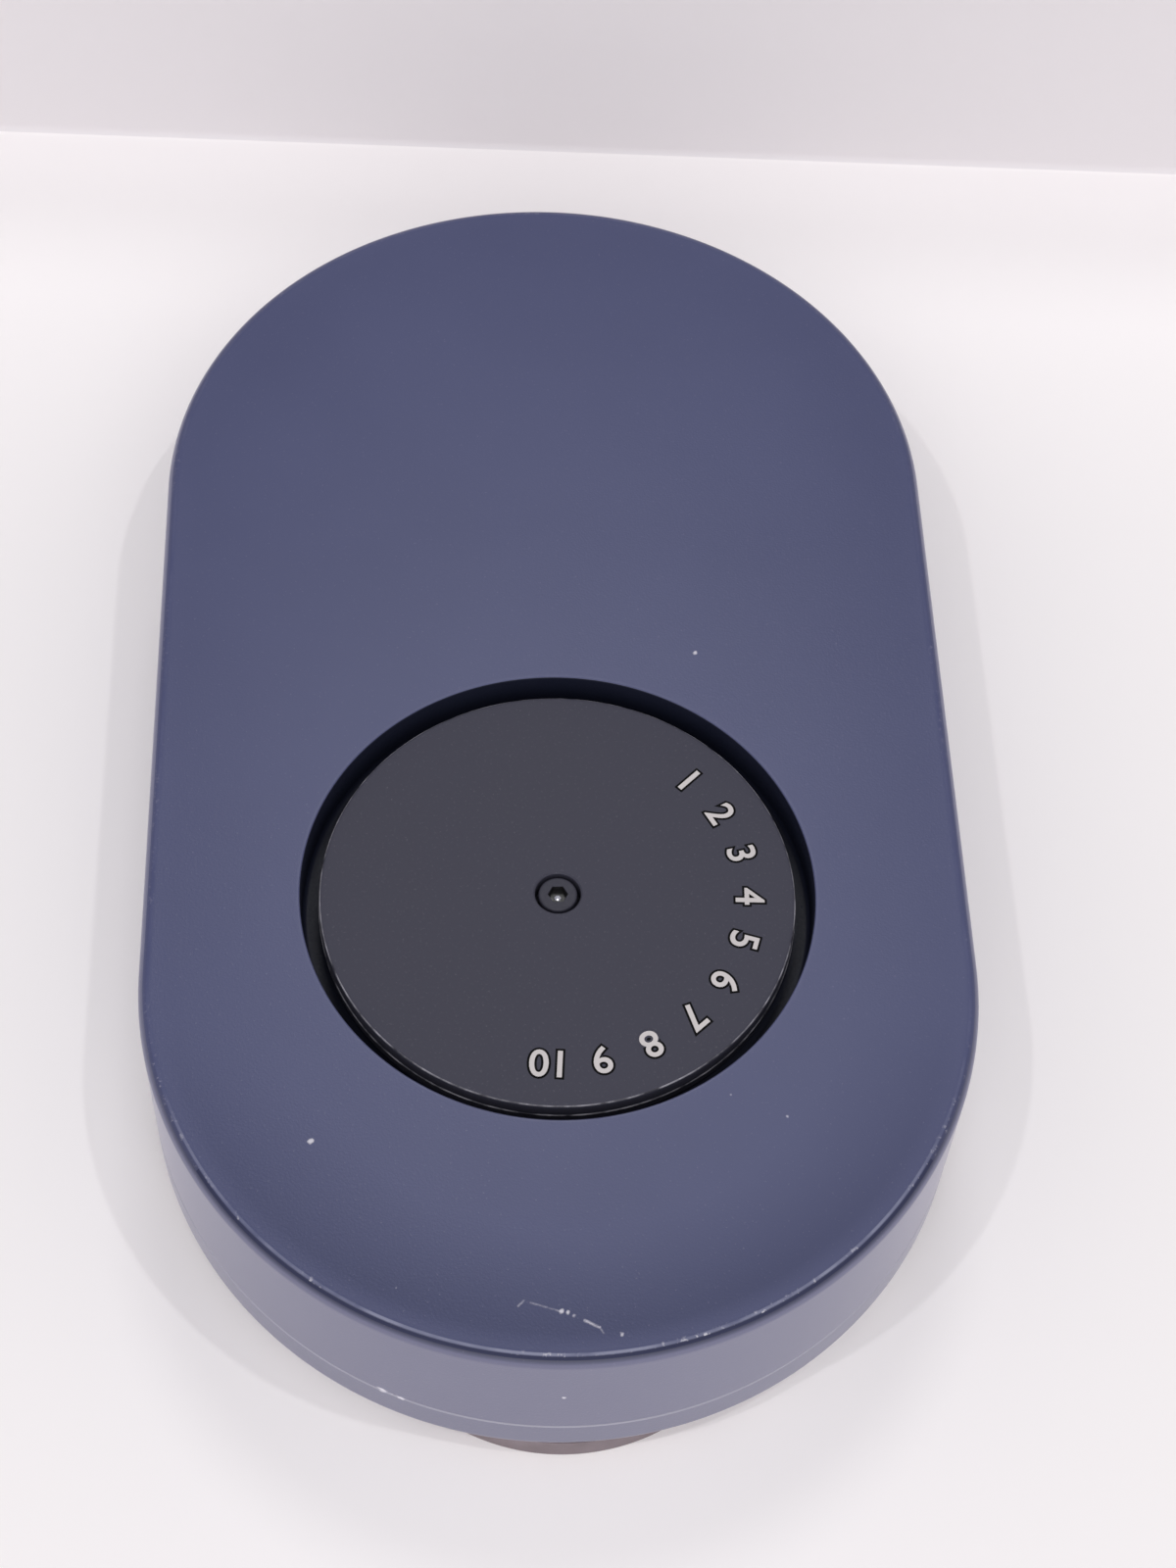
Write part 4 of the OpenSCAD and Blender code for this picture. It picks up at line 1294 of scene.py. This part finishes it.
@dataclass
class Turntable:
    """Turntable: a matt disc with a counterbore for its screw and ribs underneath.

    Its top edge and the fine ridge of the mould's parting line, halfway down its rim, are pale in
    patches: a painted highlight.
    """

    thickness: float = 3.0
    web: float = 1.6
    rim: float = 1.6
    land_r: float = 9.5
    edge: float = 0.3
    parting: float = 1.75
    hub_r: float = 3.8
    counterbore_r: float = 2.25
    counterbore_depth: float = 2.2
    screw_hole_r: float = 1.15
    shaft_r: float = 2.02
    shaft_flat: float = 1.52
    ribs: int = 6
    rib_width: float = 1.0
    root: float = 0.3                               # slope where the web meets rim and land
    ridge: float = 0.08                             # how far the parting ridge stands out
    rubbed_edge: tuple[float, float] = (0.5, 0.9)   # upright shares of normals on the highlit edge
    rubbed_ridge: float = 0.02                      # faces further out than this are the ridge

    def build(self, material: bpy.types.Material,
              rubbed: bpy.types.Material) -> bpy.types.Object:
        """Turns the disc, adds its ribs and cuts the bore with its flat.

        Args:
            material: The disc's plastic.
            rubbed: The same plastic, pale in patches, as a painted highlight on edge and ridge.

        Returns:
            The finished turntable.
        """
        radius = TABLE.width(0) / 2
        top, hub_z = TABLE.high[2], TABLE.low[2]
        under = top - self.thickness
        web_z = top - self.web
        seat = top - self.counterbore_depth
        inner = radius - self.rim
        turning = Turning("turning_disc", ROUND_SIDES, self.screw_hole_r, under)
        turning.to(self.screw_hole_r, seat)
        turning.to(self.counterbore_r, seat)
        turning.to(self.counterbore_r, top - 0.15)
        turning.to(self.counterbore_r + 0.15, top)
        turning.to(self.counterbore_r + 0.5, top)
        turning.to(radius - self.edge - 0.25, top)
        turning.to(radius - self.edge, top)
        turning.arc(radius - self.edge, top - self.edge, self.edge, 75, 0, 5)
        ridge = top - self.parting
        crest = radius + self.ridge
        turning.to(radius, ridge + 0.14).to(crest, ridge + 0.05)
        turning.to(crest, ridge - 0.05).to(radius, ridge - 0.1)
        turning.to(radius, under + 0.15).to(radius - 0.15, under)
        turning.to(inner, under).to(inner, web_z - self.root).to(inner - self.root, web_z)
        turning.to(self.land_r + self.root, web_z).to(self.land_r, web_z - self.root)
        turning.to(self.land_r, under).to(self.hub_r, under)
        turning.to(self.hub_r, hub_z + 0.2).to(self.hub_r - 0.2, hub_z)
        turning.to(self.shaft_r, hub_z).to(self.shaft_r, under)
        turning.to(self.screw_hole_r, under)
        piece = turning.closed()
        for i in range(self.ribs):
            rib = block("rib", (self.land_r - 0.5, -self.rib_width / 2, under + 0.2),
                        (inner + 0.5, self.rib_width / 2, web_z + 0.3))
            place_mesh(rib, Matrix.Rotation(math.tau * i / self.ribs, 4, "Z"))
            combine(piece, rib, Join.ADD)
        flat = block("flat", (self.shaft_flat, -self.shaft_r, hub_z),
                     (self.shaft_r + 0.4, self.shaft_r, under + 0.2))
        combine(piece, flat, Join.ADD)
        finish_piece(piece, material)
        highlight_slot = len(piece.data.materials)
        piece.data.materials.append(rubbed)
        # Painted highlight: the top edge's rounding and the parting ridge get the pale plastic
        for face in piece.data.polygons:
            x, y, z = (v / MM for v in face.center)
            out = math.hypot(x, y)
            on_edge = self.rubbed_edge[0] < face.normal.z < self.rubbed_edge[1]
            on_ridge = out > radius + self.rubbed_ridge
            if out > radius - self.edge and (on_edge or on_ridge):
                face.material_index = highlight_slot
        return place_mesh(piece, Matrix.Translation((0, TABLE_Y * MM, 0)))


@dataclass
class CapScrew:
    """Socket cap screw that holds the turntable on its shaft."""

    head_r: float = 1.9
    head_h: float = 2.0
    chamfer: float = 0.22
    shank_r: float = 1.0
    socket_flats: float = 1.7
    socket_depth: float = 0.8
    cone: float = 0.3
    tip_chamfer: float = 0.25
    neck: float = 0.1
    socket_rim: float = 0.1                         # the socket's finish starts this far down
    drilled: tuple[float, float] = (0.12, 0.34)     # the point's ends, as shares of the corner
    taper: float = 0.95                             # width at the bottom, as a share of the top

    def build(self, material: bpy.types.Material, socket_shade: bpy.types.Material,
              bare: bpy.types.Material) -> bpy.types.Object:
        """Turns the screw and sinks its hexagon socket.

        Args:
            material: The screw's blackened steel.
            socket_shade: The same steel, near black on the socket's walls: painted shade of the
                deep socket.
            bare: Bright steel on the socket's point: a painted glint in the dark socket.

        Returns:
            The finished screw.
        """
        reach = Reach.of("turntable_screw")
        top, tip = reach.high[2], reach.low[2]
        seat = top - self.head_h
        neck = self.neck
        turning = Turning("cap_screw", SMALL_SIDES, self.shank_r - self.tip_chamfer, tip)
        turning.to(self.shank_r, tip + self.tip_chamfer).to(self.shank_r, seat - neck)
        turning.to(self.shank_r + neck, seat).to(self.head_r - neck, seat)
        turning.to(self.head_r, seat + neck).to(self.head_r, top - self.chamfer)
        turning.arc(self.head_r - self.chamfer, top - self.chamfer, self.chamfer, 0, 90, 4)
        turning.to(self.head_r - self.chamfer - 0.1, top)
        piece = turning.closed()
        corner = self.socket_flats / math.sqrt(3)
        tip_share, mouth_share = self.drilled
        floor = top - self.socket_depth
        socket = Turning("socket", 6, corner * tip_share, floor - self.cone)
        socket.to(corner * mouth_share, floor)
        socket.to(corner * self.taper, floor).to(corner, top - 0.05)
        socket.to(corner + 0.2, top + 0.15)
        combine(piece, socket.closed(), Join.CUT)
        finish_piece(piece, material)
        socket_shade_slot, glint_slot = 1, 2
        piece.data.materials.append(socket_shade)
        piece.data.materials.append(bare)
        # Painted shade on the socket's walls, and a painted glint on its point
        for face in piece.data.polygons:
            x, y, z = (v / MM for v in face.center)
            depth = top - z
            deepest = self.socket_depth + self.cone + LEVEL
            if math.hypot(x, y) < corner and self.socket_rim < depth < deepest:
                in_socket = depth < self.socket_depth + LEVEL
                face.material_index = socket_shade_slot if in_socket else glint_slot
        return place_mesh(piece, Matrix.Translation((0, TABLE_Y * MM, 0)))


@dataclass
class DialNumbers:
    """Plain numbers printed round one side of the turntable, their tops pointing outwards."""

    count: int = 10
    first: float = 44.0
    last: float = -94.0
    radius: float = 18.5
    height: float = 2.85
    print_h: float = 0.03
    bold: float = 0.05
    outline: float = 0.27
    edge_print: float = 0.6                         # height of the dark edge, as a share
    type_size: float = 1.38                         # size of the type for a digit 1 high

    def text_mesh(self, number: int, grow: float, raise_by: float,
                  material: bpy.types.Material) -> bpy.types.Object:
        """Sets one number in type and turns it into a mesh.

        Args:
            number: The number.
            grow: Outward offset of its outline in millimetres.
            raise_by: Height of its face above the disc in millimetres.
            material: Its ink.

        Returns:
            The number as a mesh, standing in its place on the disc.
        """
        start_clean()
        bpy.ops.object.text_add()
        piece = bpy.context.object
        piece.data.body = str(number)
        piece.data.align_x = "CENTER"
        piece.data.align_y = "CENTER"
        piece.data.size = self.type_size * self.height * MM
        piece.data.offset = grow * MM
        piece.data.extrude = raise_by / 2 * MM
        piece.data.resolution_u = 6
        bpy.ops.object.convert(target="MESH")
        piece = bpy.context.object
        bearing = self.first + (self.last - self.first) * (number - 1) / (self.count - 1)
        angle = math.radians(bearing)
        way = Vector((math.cos(angle), math.sin(angle), 0)) * self.radius * MM
        spot = Vector((0, TABLE_Y * MM, (TABLE.high[2] + raise_by / 2) * MM)) + way
        turn = Matrix.Rotation(angle - math.pi / 2, 4, "Z")
        place_mesh(piece, Matrix.Translation(spot) @ turn)
        piece.data.materials.clear()
        piece.data.materials.append(material)
        return piece

    def build(self, ink: bpy.types.Material, edge: bpy.types.Material) -> bpy.types.Object:
        """Prints every number, each with the dark edge of its ink.

        Args:
            ink: Pale ink of the numbers.
            edge: Dark edge round them.

        Returns:
            The numbers as one piece.
        """
        numbers = []
        for number in range(1, self.count + 1):
            numbers.append(self.text_mesh(number, self.bold, self.print_h, ink))
            numbers.append(self.text_mesh(number, self.outline, self.print_h * self.edge_print,
                                          edge))
        piece = join_pieces(numbers)
        piece.name = "dial_numbers"
        face_out(piece)
        return piece


# ---- Power button --------------------------------------------------------------------------

@dataclass
class PowerButton:
    """Power button in the rear wall, turned to one side of the inlet."""

    turn: float = 23.0
    radius: float = 2.6
    gap: float = 0.15
    flange_r: float = 3.5
    flange_t: float = 0.8
    flange_out: float = 37.5
    stem_r: float = 1.6
    stem: float = 0.7
    proud: float = 0.8
    axis_z: float = 13.2
    bend: float = 0.35
    stem_chamfer: float = 0.1
    dish: float = 0.16

    def place(self) -> Matrix:
        """Gives the move from the button's own axis to its place in the wall."""
        return (Matrix.Translation((0, END_HALF * MM, self.axis_z * MM))
                @ Matrix.Rotation(math.radians(-self.turn), 4, "Z")
                @ Matrix.Rotation(math.radians(-90), 4, "X"))

    def opening(self) -> bpy.types.Object:
        """Makes the tool that opens the rear wall for the button."""
        piece = rod("button_opening", self.radius + self.gap, END_RADIUS - 4, END_RADIUS + 0.5)
        return place_mesh(piece, self.place())

    def build(self, material: bpy.types.Material) -> bpy.types.Object:
        """Turns the button with its flange, its rounded edge and its dished face.

        Args:
            material: The button's plastic.

        Returns:
            The finished button.
        """
        face = END_RADIUS + self.proud
        flange_in = self.flange_out - self.flange_t
        stem_end, chamfer = flange_in - self.stem, self.stem_chamfer
        turning = Turning("button_cap", SMALL_SIDES, self.stem_r - chamfer, stem_end)
        turning.to(self.stem_r, stem_end + chamfer).to(self.stem_r, flange_in)
        turning.to(self.flange_r, flange_in).to(self.flange_r, self.flange_out)
        turning.to(self.radius, self.flange_out).to(self.radius, face - 0.6)
        turning.arc(self.radius - self.bend, face - self.bend, self.bend, 0, 90, 6)
        turning.to(self.radius * 0.6, face - 0.1).to(self.radius * 0.3, face - self.dish)
        piece = turning.closed()
        return finish_piece(place_mesh(piece, self.place()), material)


# ---- Stage ---------------------------------------------------------------------------------

@dataclass(frozen=True)
class Lamp:
    """Round area lamp that faces the middle of the stage, its place and width in metres."""

    name: str
    at: tuple[float, float, float]
    width: float
    watts: float

    def hang(self) -> None:
        """Adds the lamp to the scene."""
        data = bpy.data.lights.new(self.name, "AREA")
        data.shape = "DISK"
        data.size = self.width
        data.energy = self.watts
        lamp = bpy.data.objects.new(self.name, data)
        lamp.location = self.at
        facing = Vector((0.0, 0.0, 0.0)) - Vector(self.at)
        lamp.rotation_euler = facing.to_track_quat("-Z", "Y").to_euler()
        bpy.context.scene.collection.objects.link(lamp)


@dataclass
class Stage:
    """Pale table with a low pale wall, in a pale room whose ceiling is dimmer towards the back.

    Two soft boxes and two side lamps light it.
    """

    wall_y: float = 101.8
    wall_turn: float = -2.7
    floor_reach: float = 900.0
    wall_height: float = 45.0
    cove: float = 1.0
    cove_steps: int = 8
    clouds: tuple[Pattern, Span] = (Pattern(60.0, 3.0), Span(0.3, 0.7))
    roughness: float = 0.9
    specular: float = 0.2
    sky: str = "#fbf8fb"
    room: float = 0.8
    dim: float = 0.2
    dim_way: tuple[float, float, float] = (0.03, 0.5, 0.86)
    dim_angles: tuple[float, float] = (50.0, 25.0)  # off that way, where dimming starts and is full
    lamps: tuple[Lamp, ...] = (
        Lamp("soft_box", (0.03, 0.415, 0.81), 0.26, 1.08),
        Lamp("front_box", (0.0, -0.75, 0.75), 0.8, 2.35),
        Lamp("lamp_right", (0.28, -0.14, 0.91), 0.022, 0.8),
        Lamp("lamp_left", (-0.32, -0.25, 0.84), 0.022, 0.7),
    )

    def board_material(self, name: str, base: str, cloud: str,
                       open_behind: bool = False) -> bpy.types.Material:
        """Makes a painted board: matt, nearly white, faintly mottled.

        Args:
            name: Name of the material.
            base: Its colour.
            cloud: Its colour where it is mottled.
            open_behind: Whether its back is clear, so that it hides nothing from behind.

        Returns:
            The material.
        """
        graph, place = start_material(name)
        clouds = patchy(graph, place, *self.clouds)
        surface = graph.add("BsdfPrincipled", {
            "Base Color": layered(graph, base, [(clouds, cloud)]),
            "Roughness": self.roughness, "Specular IOR Level": self.specular})
        if open_behind:
            behind = graph.add("NewGeometry", {}, "Backfacing")
            clear = graph.add("BsdfTransparent", {})
            surface = graph.add("MixShader", {0: behind, 1: surface, 2: clear})
        graph.end(surface)
        return graph.owner

    def build(self) -> None:
        """Builds the floor and the wall as one bent board."""
        start_clean()
        reach = self.floor_reach * MM
        bpy.ops.mesh.primitive_plane_add(size=2, location=(0, 0, 0))
        board = bpy.context.object
        board.name = "floor"
        board.scale = (reach, reach, 1)
        bpy.ops.object.transform_apply(location=True, rotation=True, scale=True)
        bpy.ops.object.mode_set(mode="EDIT")
        select_points(board, lambda place: place.y > 0)
        back = (self.wall_y - self.cove) * MM - reach
        bpy.ops.transform.translate(value=(0, back, 0))
        turn = math.radians(90 / self.cove_steps)
        chord = 2 * self.cove * MM * math.sin(turn / 2)
        for i in range(self.cove_steps):
            angle = (i + 0.5) * turn
            bpy.ops.mesh.extrude_edges_move(TRANSFORM_OT_translate={
                "value": (0, chord * math.cos(angle), chord * math.sin(angle))})
        bpy.ops.mesh.extrude_edges_move(TRANSFORM_OT_translate={
            "value": (0, 0, self.wall_height * MM)})
        bpy.ops.object.mode_set(mode="OBJECT")
        bpy.ops.object.shade_smooth_by_angle(angle=SMOOTH_ANGLE)
        place_mesh(board, Matrix.Rotation(math.radians(self.wall_turn), 4, "Z"))
        board.data.materials.append(self.board_material("floor_board", "#f8f5f5", "#f7f4f4"))
        board.data.materials.append(self.board_material("wall_board", "#e7e3e5", "#e6e2e4",
                                                        open_behind=True))
        for face in board.data.polygons:
            face.material_index = int(face.normal.y < -0.5)     # the wall faces the front

    def light(self) -> None:
        """Hangs the lamps and sets the room's light."""
        graph = Graph(bpy.data.worlds.new("room"))
        way = graph.add("TexCoord", {}, "Generated")
        towards = graph.add("VectorMath", {0: way, 1: self.dim_way}, "Value",
                            operation="DOT_PRODUCT")
        edges = (math.cos(math.radians(angle)) for angle in self.dim_angles)
        strength = graph.add("MapRange", Span(*edges, self.room, self.dim).inputs(towards))
        graph.end(graph.add("Background", {"Color": linear(self.sky), "Strength": strength}))
        bpy.context.scene.world = graph.owner
        for lamp in self.lamps:
            lamp.hang()


@dataclass
class Viewpoint:
    """The camera where the photograph was taken, fitted to the housing's outline."""

    at: tuple[float, float, float] = (-10.325, -164.67, 259.84)
    tilt: float = 0.582
    roll: float = 0.0652
    heading: float = -0.0871
    lens: float = 65.878
    sensor: float = 36.0
    nearest: float = 0.01                           # metres; nothing nearer is drawn

    def build(self) -> bpy.types.Object:
        """Sets up the camera."""
        data = bpy.data.cameras.new("camera")
        data.lens = self.lens
        data.sensor_width = self.sensor
        data.clip_start = self.nearest
        camera = bpy.data.objects.new("camera", data)
        turn = (Euler((0, 0, self.heading)).to_matrix() @ Euler((self.tilt, 0, 0)).to_matrix()
                @ Euler((0, 0, self.roll)).to_matrix())
        camera.matrix_world = Matrix.Translation(Vector(self.at) * MM) @ turn.to_4x4()
        bpy.context.scene.collection.objects.link(camera)
        bpy.context.scene.camera = camera
        return camera


# ---- The whole object ----------------------------------------------------------------------

# Marks of use, in millimetres: on the top face near the front, on the front side and the seam
SCUFFS = (
    Scuff((-4.7, -64.1, 22.3), (-4.2, -63.6, 22.3), 0.14, 0.45),
    Scuff((-4.2, -63.6, 22.3), (-0.9, -64.7, 22.3), 0.13, 0.4),
    Scuff((0.2, -65.1, 22.3), (2.4, -66.2, 22.3), 0.2, 1.0),
    Scuff((2.4, -66.2, 22.3), (2.8, -66.8, 22.3), 0.13, 0.4),
    Scuff((-17.3, -65.8, 7.55), (-15.4, -66.6, 7.4), 0.4, 1.6),
)
SPECKS = (
    Speck((-23.3, -47.7, 22.3), 0.4),
    Speck((14.7, 7.0, 22.3), 0.3),
    Speck((-0.9, -64.7, 22.3), 0.3),
    Speck((-0.3, -64.8, 22.3), 0.25),
    Speck((4.4, -66.9, 22.3), 0.25),
    Speck((20.5, -45.8, 22.3), 0.15),
    Speck((15.4, -43.5, 22.3), 0.1),
    Speck((-15.5, -62.2, 22.3), 0.1),
    Speck((-0.6, -69.7, 14.6), 0.3),
    Speck((-17.0, -65.9, 7.4), 0.75),
    Speck((-16.2, -66.2, 7.35), 0.3),
    Speck((-15.3, -66.6, 7.3), 0.6),
)

# Top coat; its third and fourth colours paint a dark reflection and a highlight on the edge
COAT = SoftTouchCoat("soft_touch_coat_slate", "#3f4469", "#42476c", "#2c2f48", "#7d8097",
                     wear_radius=39.2, wear_half=END_HALF, wear_height=22.25, front=(-36.0, -62.0),
                     scuffs=SCUFFS, specks=SPECKS)
# The same coat on the sides, lighter all over: a painted reflection of the pale table
SIDE_COAT = SoftTouchCoat("soft_touch_coat_side_painted_reflection", "#696a84", "#6b6c86", "#2c2f48", "#8f8ea0",
                          worn="#dedce4", scuffs=SCUFFS[-1:], specks=SPECKS[-4:])
# Lower shell's coat, lighter as painted reflection, with pale painted highlights on its edges
LOWER_COAT = SoftTouchCoat("soft_touch_coat_lower_painted_reflection", "#6c6d85", "#6e6f87", "#bab8c3", "#c9c7d0",
                           worn="#dedce4", scuffs=SCUFFS[-1:], specks=SPECKS[-3:])


def inner_finishes() -> dict[str, bpy.types.Material]:
    """Makes the finishes of the pieces inside, by the record's material slot."""
    finishes = [
        ("black_screws", WorkedMetal("blackened_steel", "#2b2b2e", "#1f1f22", 0.42)),
        ("white_acetal", MouldedPlastic("moulded_acetal", "#eceae2", "#e6e4da", 0.38)),
        ("bright_steel", WorkedMetal("ground_steel", "#c9cacd", "#b4b5b9", 0.28)),
        ("bronze", WorkedMetal("sintered_bronze", "#c39a56", "#a67f42", 0.42,
                               stretch=(1.0, 1.0, 1.0))),
        ("motor_can", WorkedMetal("drawn_zinc_plate", "#b9bbc0", "#a7a9ae", 0.34)),
        ("gearbox", MouldedPlastic("moulded_nylon", "#d9d9d2", "#d1d1c9", 0.5)),
        ("circuit_board", SolderResist("solder_resist", "#175234", "#1f6a44")),
        ("inlet_shell", WorkedMetal("drawn_nickel_plate", "#cfcfd2", "#bdbdc1", 0.24)),
        ("black_plastic", MouldedPlastic("moulded_black_nylon", "#1b1b1d", "#202022", 0.5)),
        ("connector", MouldedPlastic("moulded_white_nylon", "#e8e6dc", "#e0ded3", 0.45)),
        ("lead_jacket", MouldedPlastic("drawn_red_pvc", "#a3231c", "#941d17", 0.4,
                                       grain_mm=0.6)),
    ]
    return {slot: finish.material() for slot, finish in finishes}


def dress_nodes(finishes: dict[str, bpy.types.Material]) -> None:
    """Puts the finishes on the CAD nodes that stay.

    Args:
        finishes: Material for each slot of the record.
    """
    for part in frame["record"]["subparts"]:
        material = finishes.get(part["material_slot"])
        if material is None:
            continue
        mesh = frame["nodes"][part["node"]].data
        mesh.materials.clear()
        mesh.materials.append(material)


def settle(piece: bpy.types.Object, body: str, nodes: Iterable[str]) -> None:
    """Fixes a piece to its body, hides the nodes that it stands for and logs its face count.

    Args:
        piece: Finished piece.
        body: CAD body that it moves with.
        nodes: CAD nodes that it replaces.
    """
    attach(piece, body)
    for node in nodes:
        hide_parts(node)
    log.info("%s rides on %s: %d faces", piece.name, body, len(piece.data.polygons))


def main() -> None:
    """Builds the pieces, dresses the mechanism and sets the scene."""
    logging.basicConfig(level=logging.INFO, format="%(name)s: %(message)s")
    Viewpoint().build()
    stage = Stage()
    stage.build()
    stage.light()
    # The disc's edge and ridge, pale in small patches over the black plastic: a painted highlight
    rubbed = MouldedPlastic("disc_edge_painted_highlight", "#2f2f39", "#9c9ba4", 0.55,
                            cloud_mm=1.6).material()
    plate = TurnedPlate("fine_textured_black_abs", "#393946", "#3c3c49").material()
    # Black oxide is a dull, porous skin, so the screw's head looks more like plastic than metal
    steel = MouldedPlastic("black_oxide_steel", "#343440", "#30303b", 0.5,
                           specular=0.35).material()
    # Painted shade: the socket's walls are near black, for the shade deep in the socket
    socket_shade = MouldedPlastic("socket_painted_shade_black_oxide", "#0b0b0e", "#0e0e11", 0.35).material()
    # Painted glint: bright steel on the socket's point makes a bright dot in the dark socket
    point = WorkedMetal("socket_point_painted_glint_steel", "#e2e2e8", "#d0d0d8", 0.35).material()
    rubber = MouldedRubber("moulded_silicone", "#7f7478", "#8d8287").material()
    knob = MouldedPlastic("fine_matt_abs", "#34343a", "#38383e", 0.45).material()
    # Pad-printed ink: flat and matt, with a thin dark edge
    ink = MouldedPlastic("pad_print_warm_grey", "#c9c4c4", "#c3bebe", 0.55).material()
    ink_edge = MouldedPlastic("pad_print_edge", "#09090b", "#0c0c0e", 0.7,
                              specular=0.1).material()
    # Painted shade in the well, also the unsprayed inside; painted dark reflection on the rounding
    bare = MouldedPlastic("inside_and_well_painted_shade_abs", "#191c2b", "#1c1f2e", 0.45,
                          specular=0.2).material()
    rounding = MouldedPlastic("rounding_painted_dark_reflection_coat", "#2f324b", "#32354e", 0.6,
                              specular=0.15).material()
    shell = ShellFinishes(COAT.material(), SIDE_COAT.material(), rounding, bare)
    settle(UpperShell().build(shell), "housing", ["top_shell"])
    settle(LowerShell().build(LOWER_COAT.material()), "housing",
           ["bottom_shell"])
    settle(BasePad().build(rubber), "housing", ["base_pad"])
    settle(Turntable().build(plate, rubbed), "table", ["turntable"])
    settle(CapScrew().build(steel, socket_shade, point), "table", ["turntable_screw"])
    settle(DialNumbers().build(ink, ink_edge), "table", [])
    settle(PowerButton().build(knob), "button", ["power_button"])
    dress_nodes(inner_finishes())
    bpy.context.scene.view_settings.view_transform = "Standard"


if __name__ == "__main__":
    main()
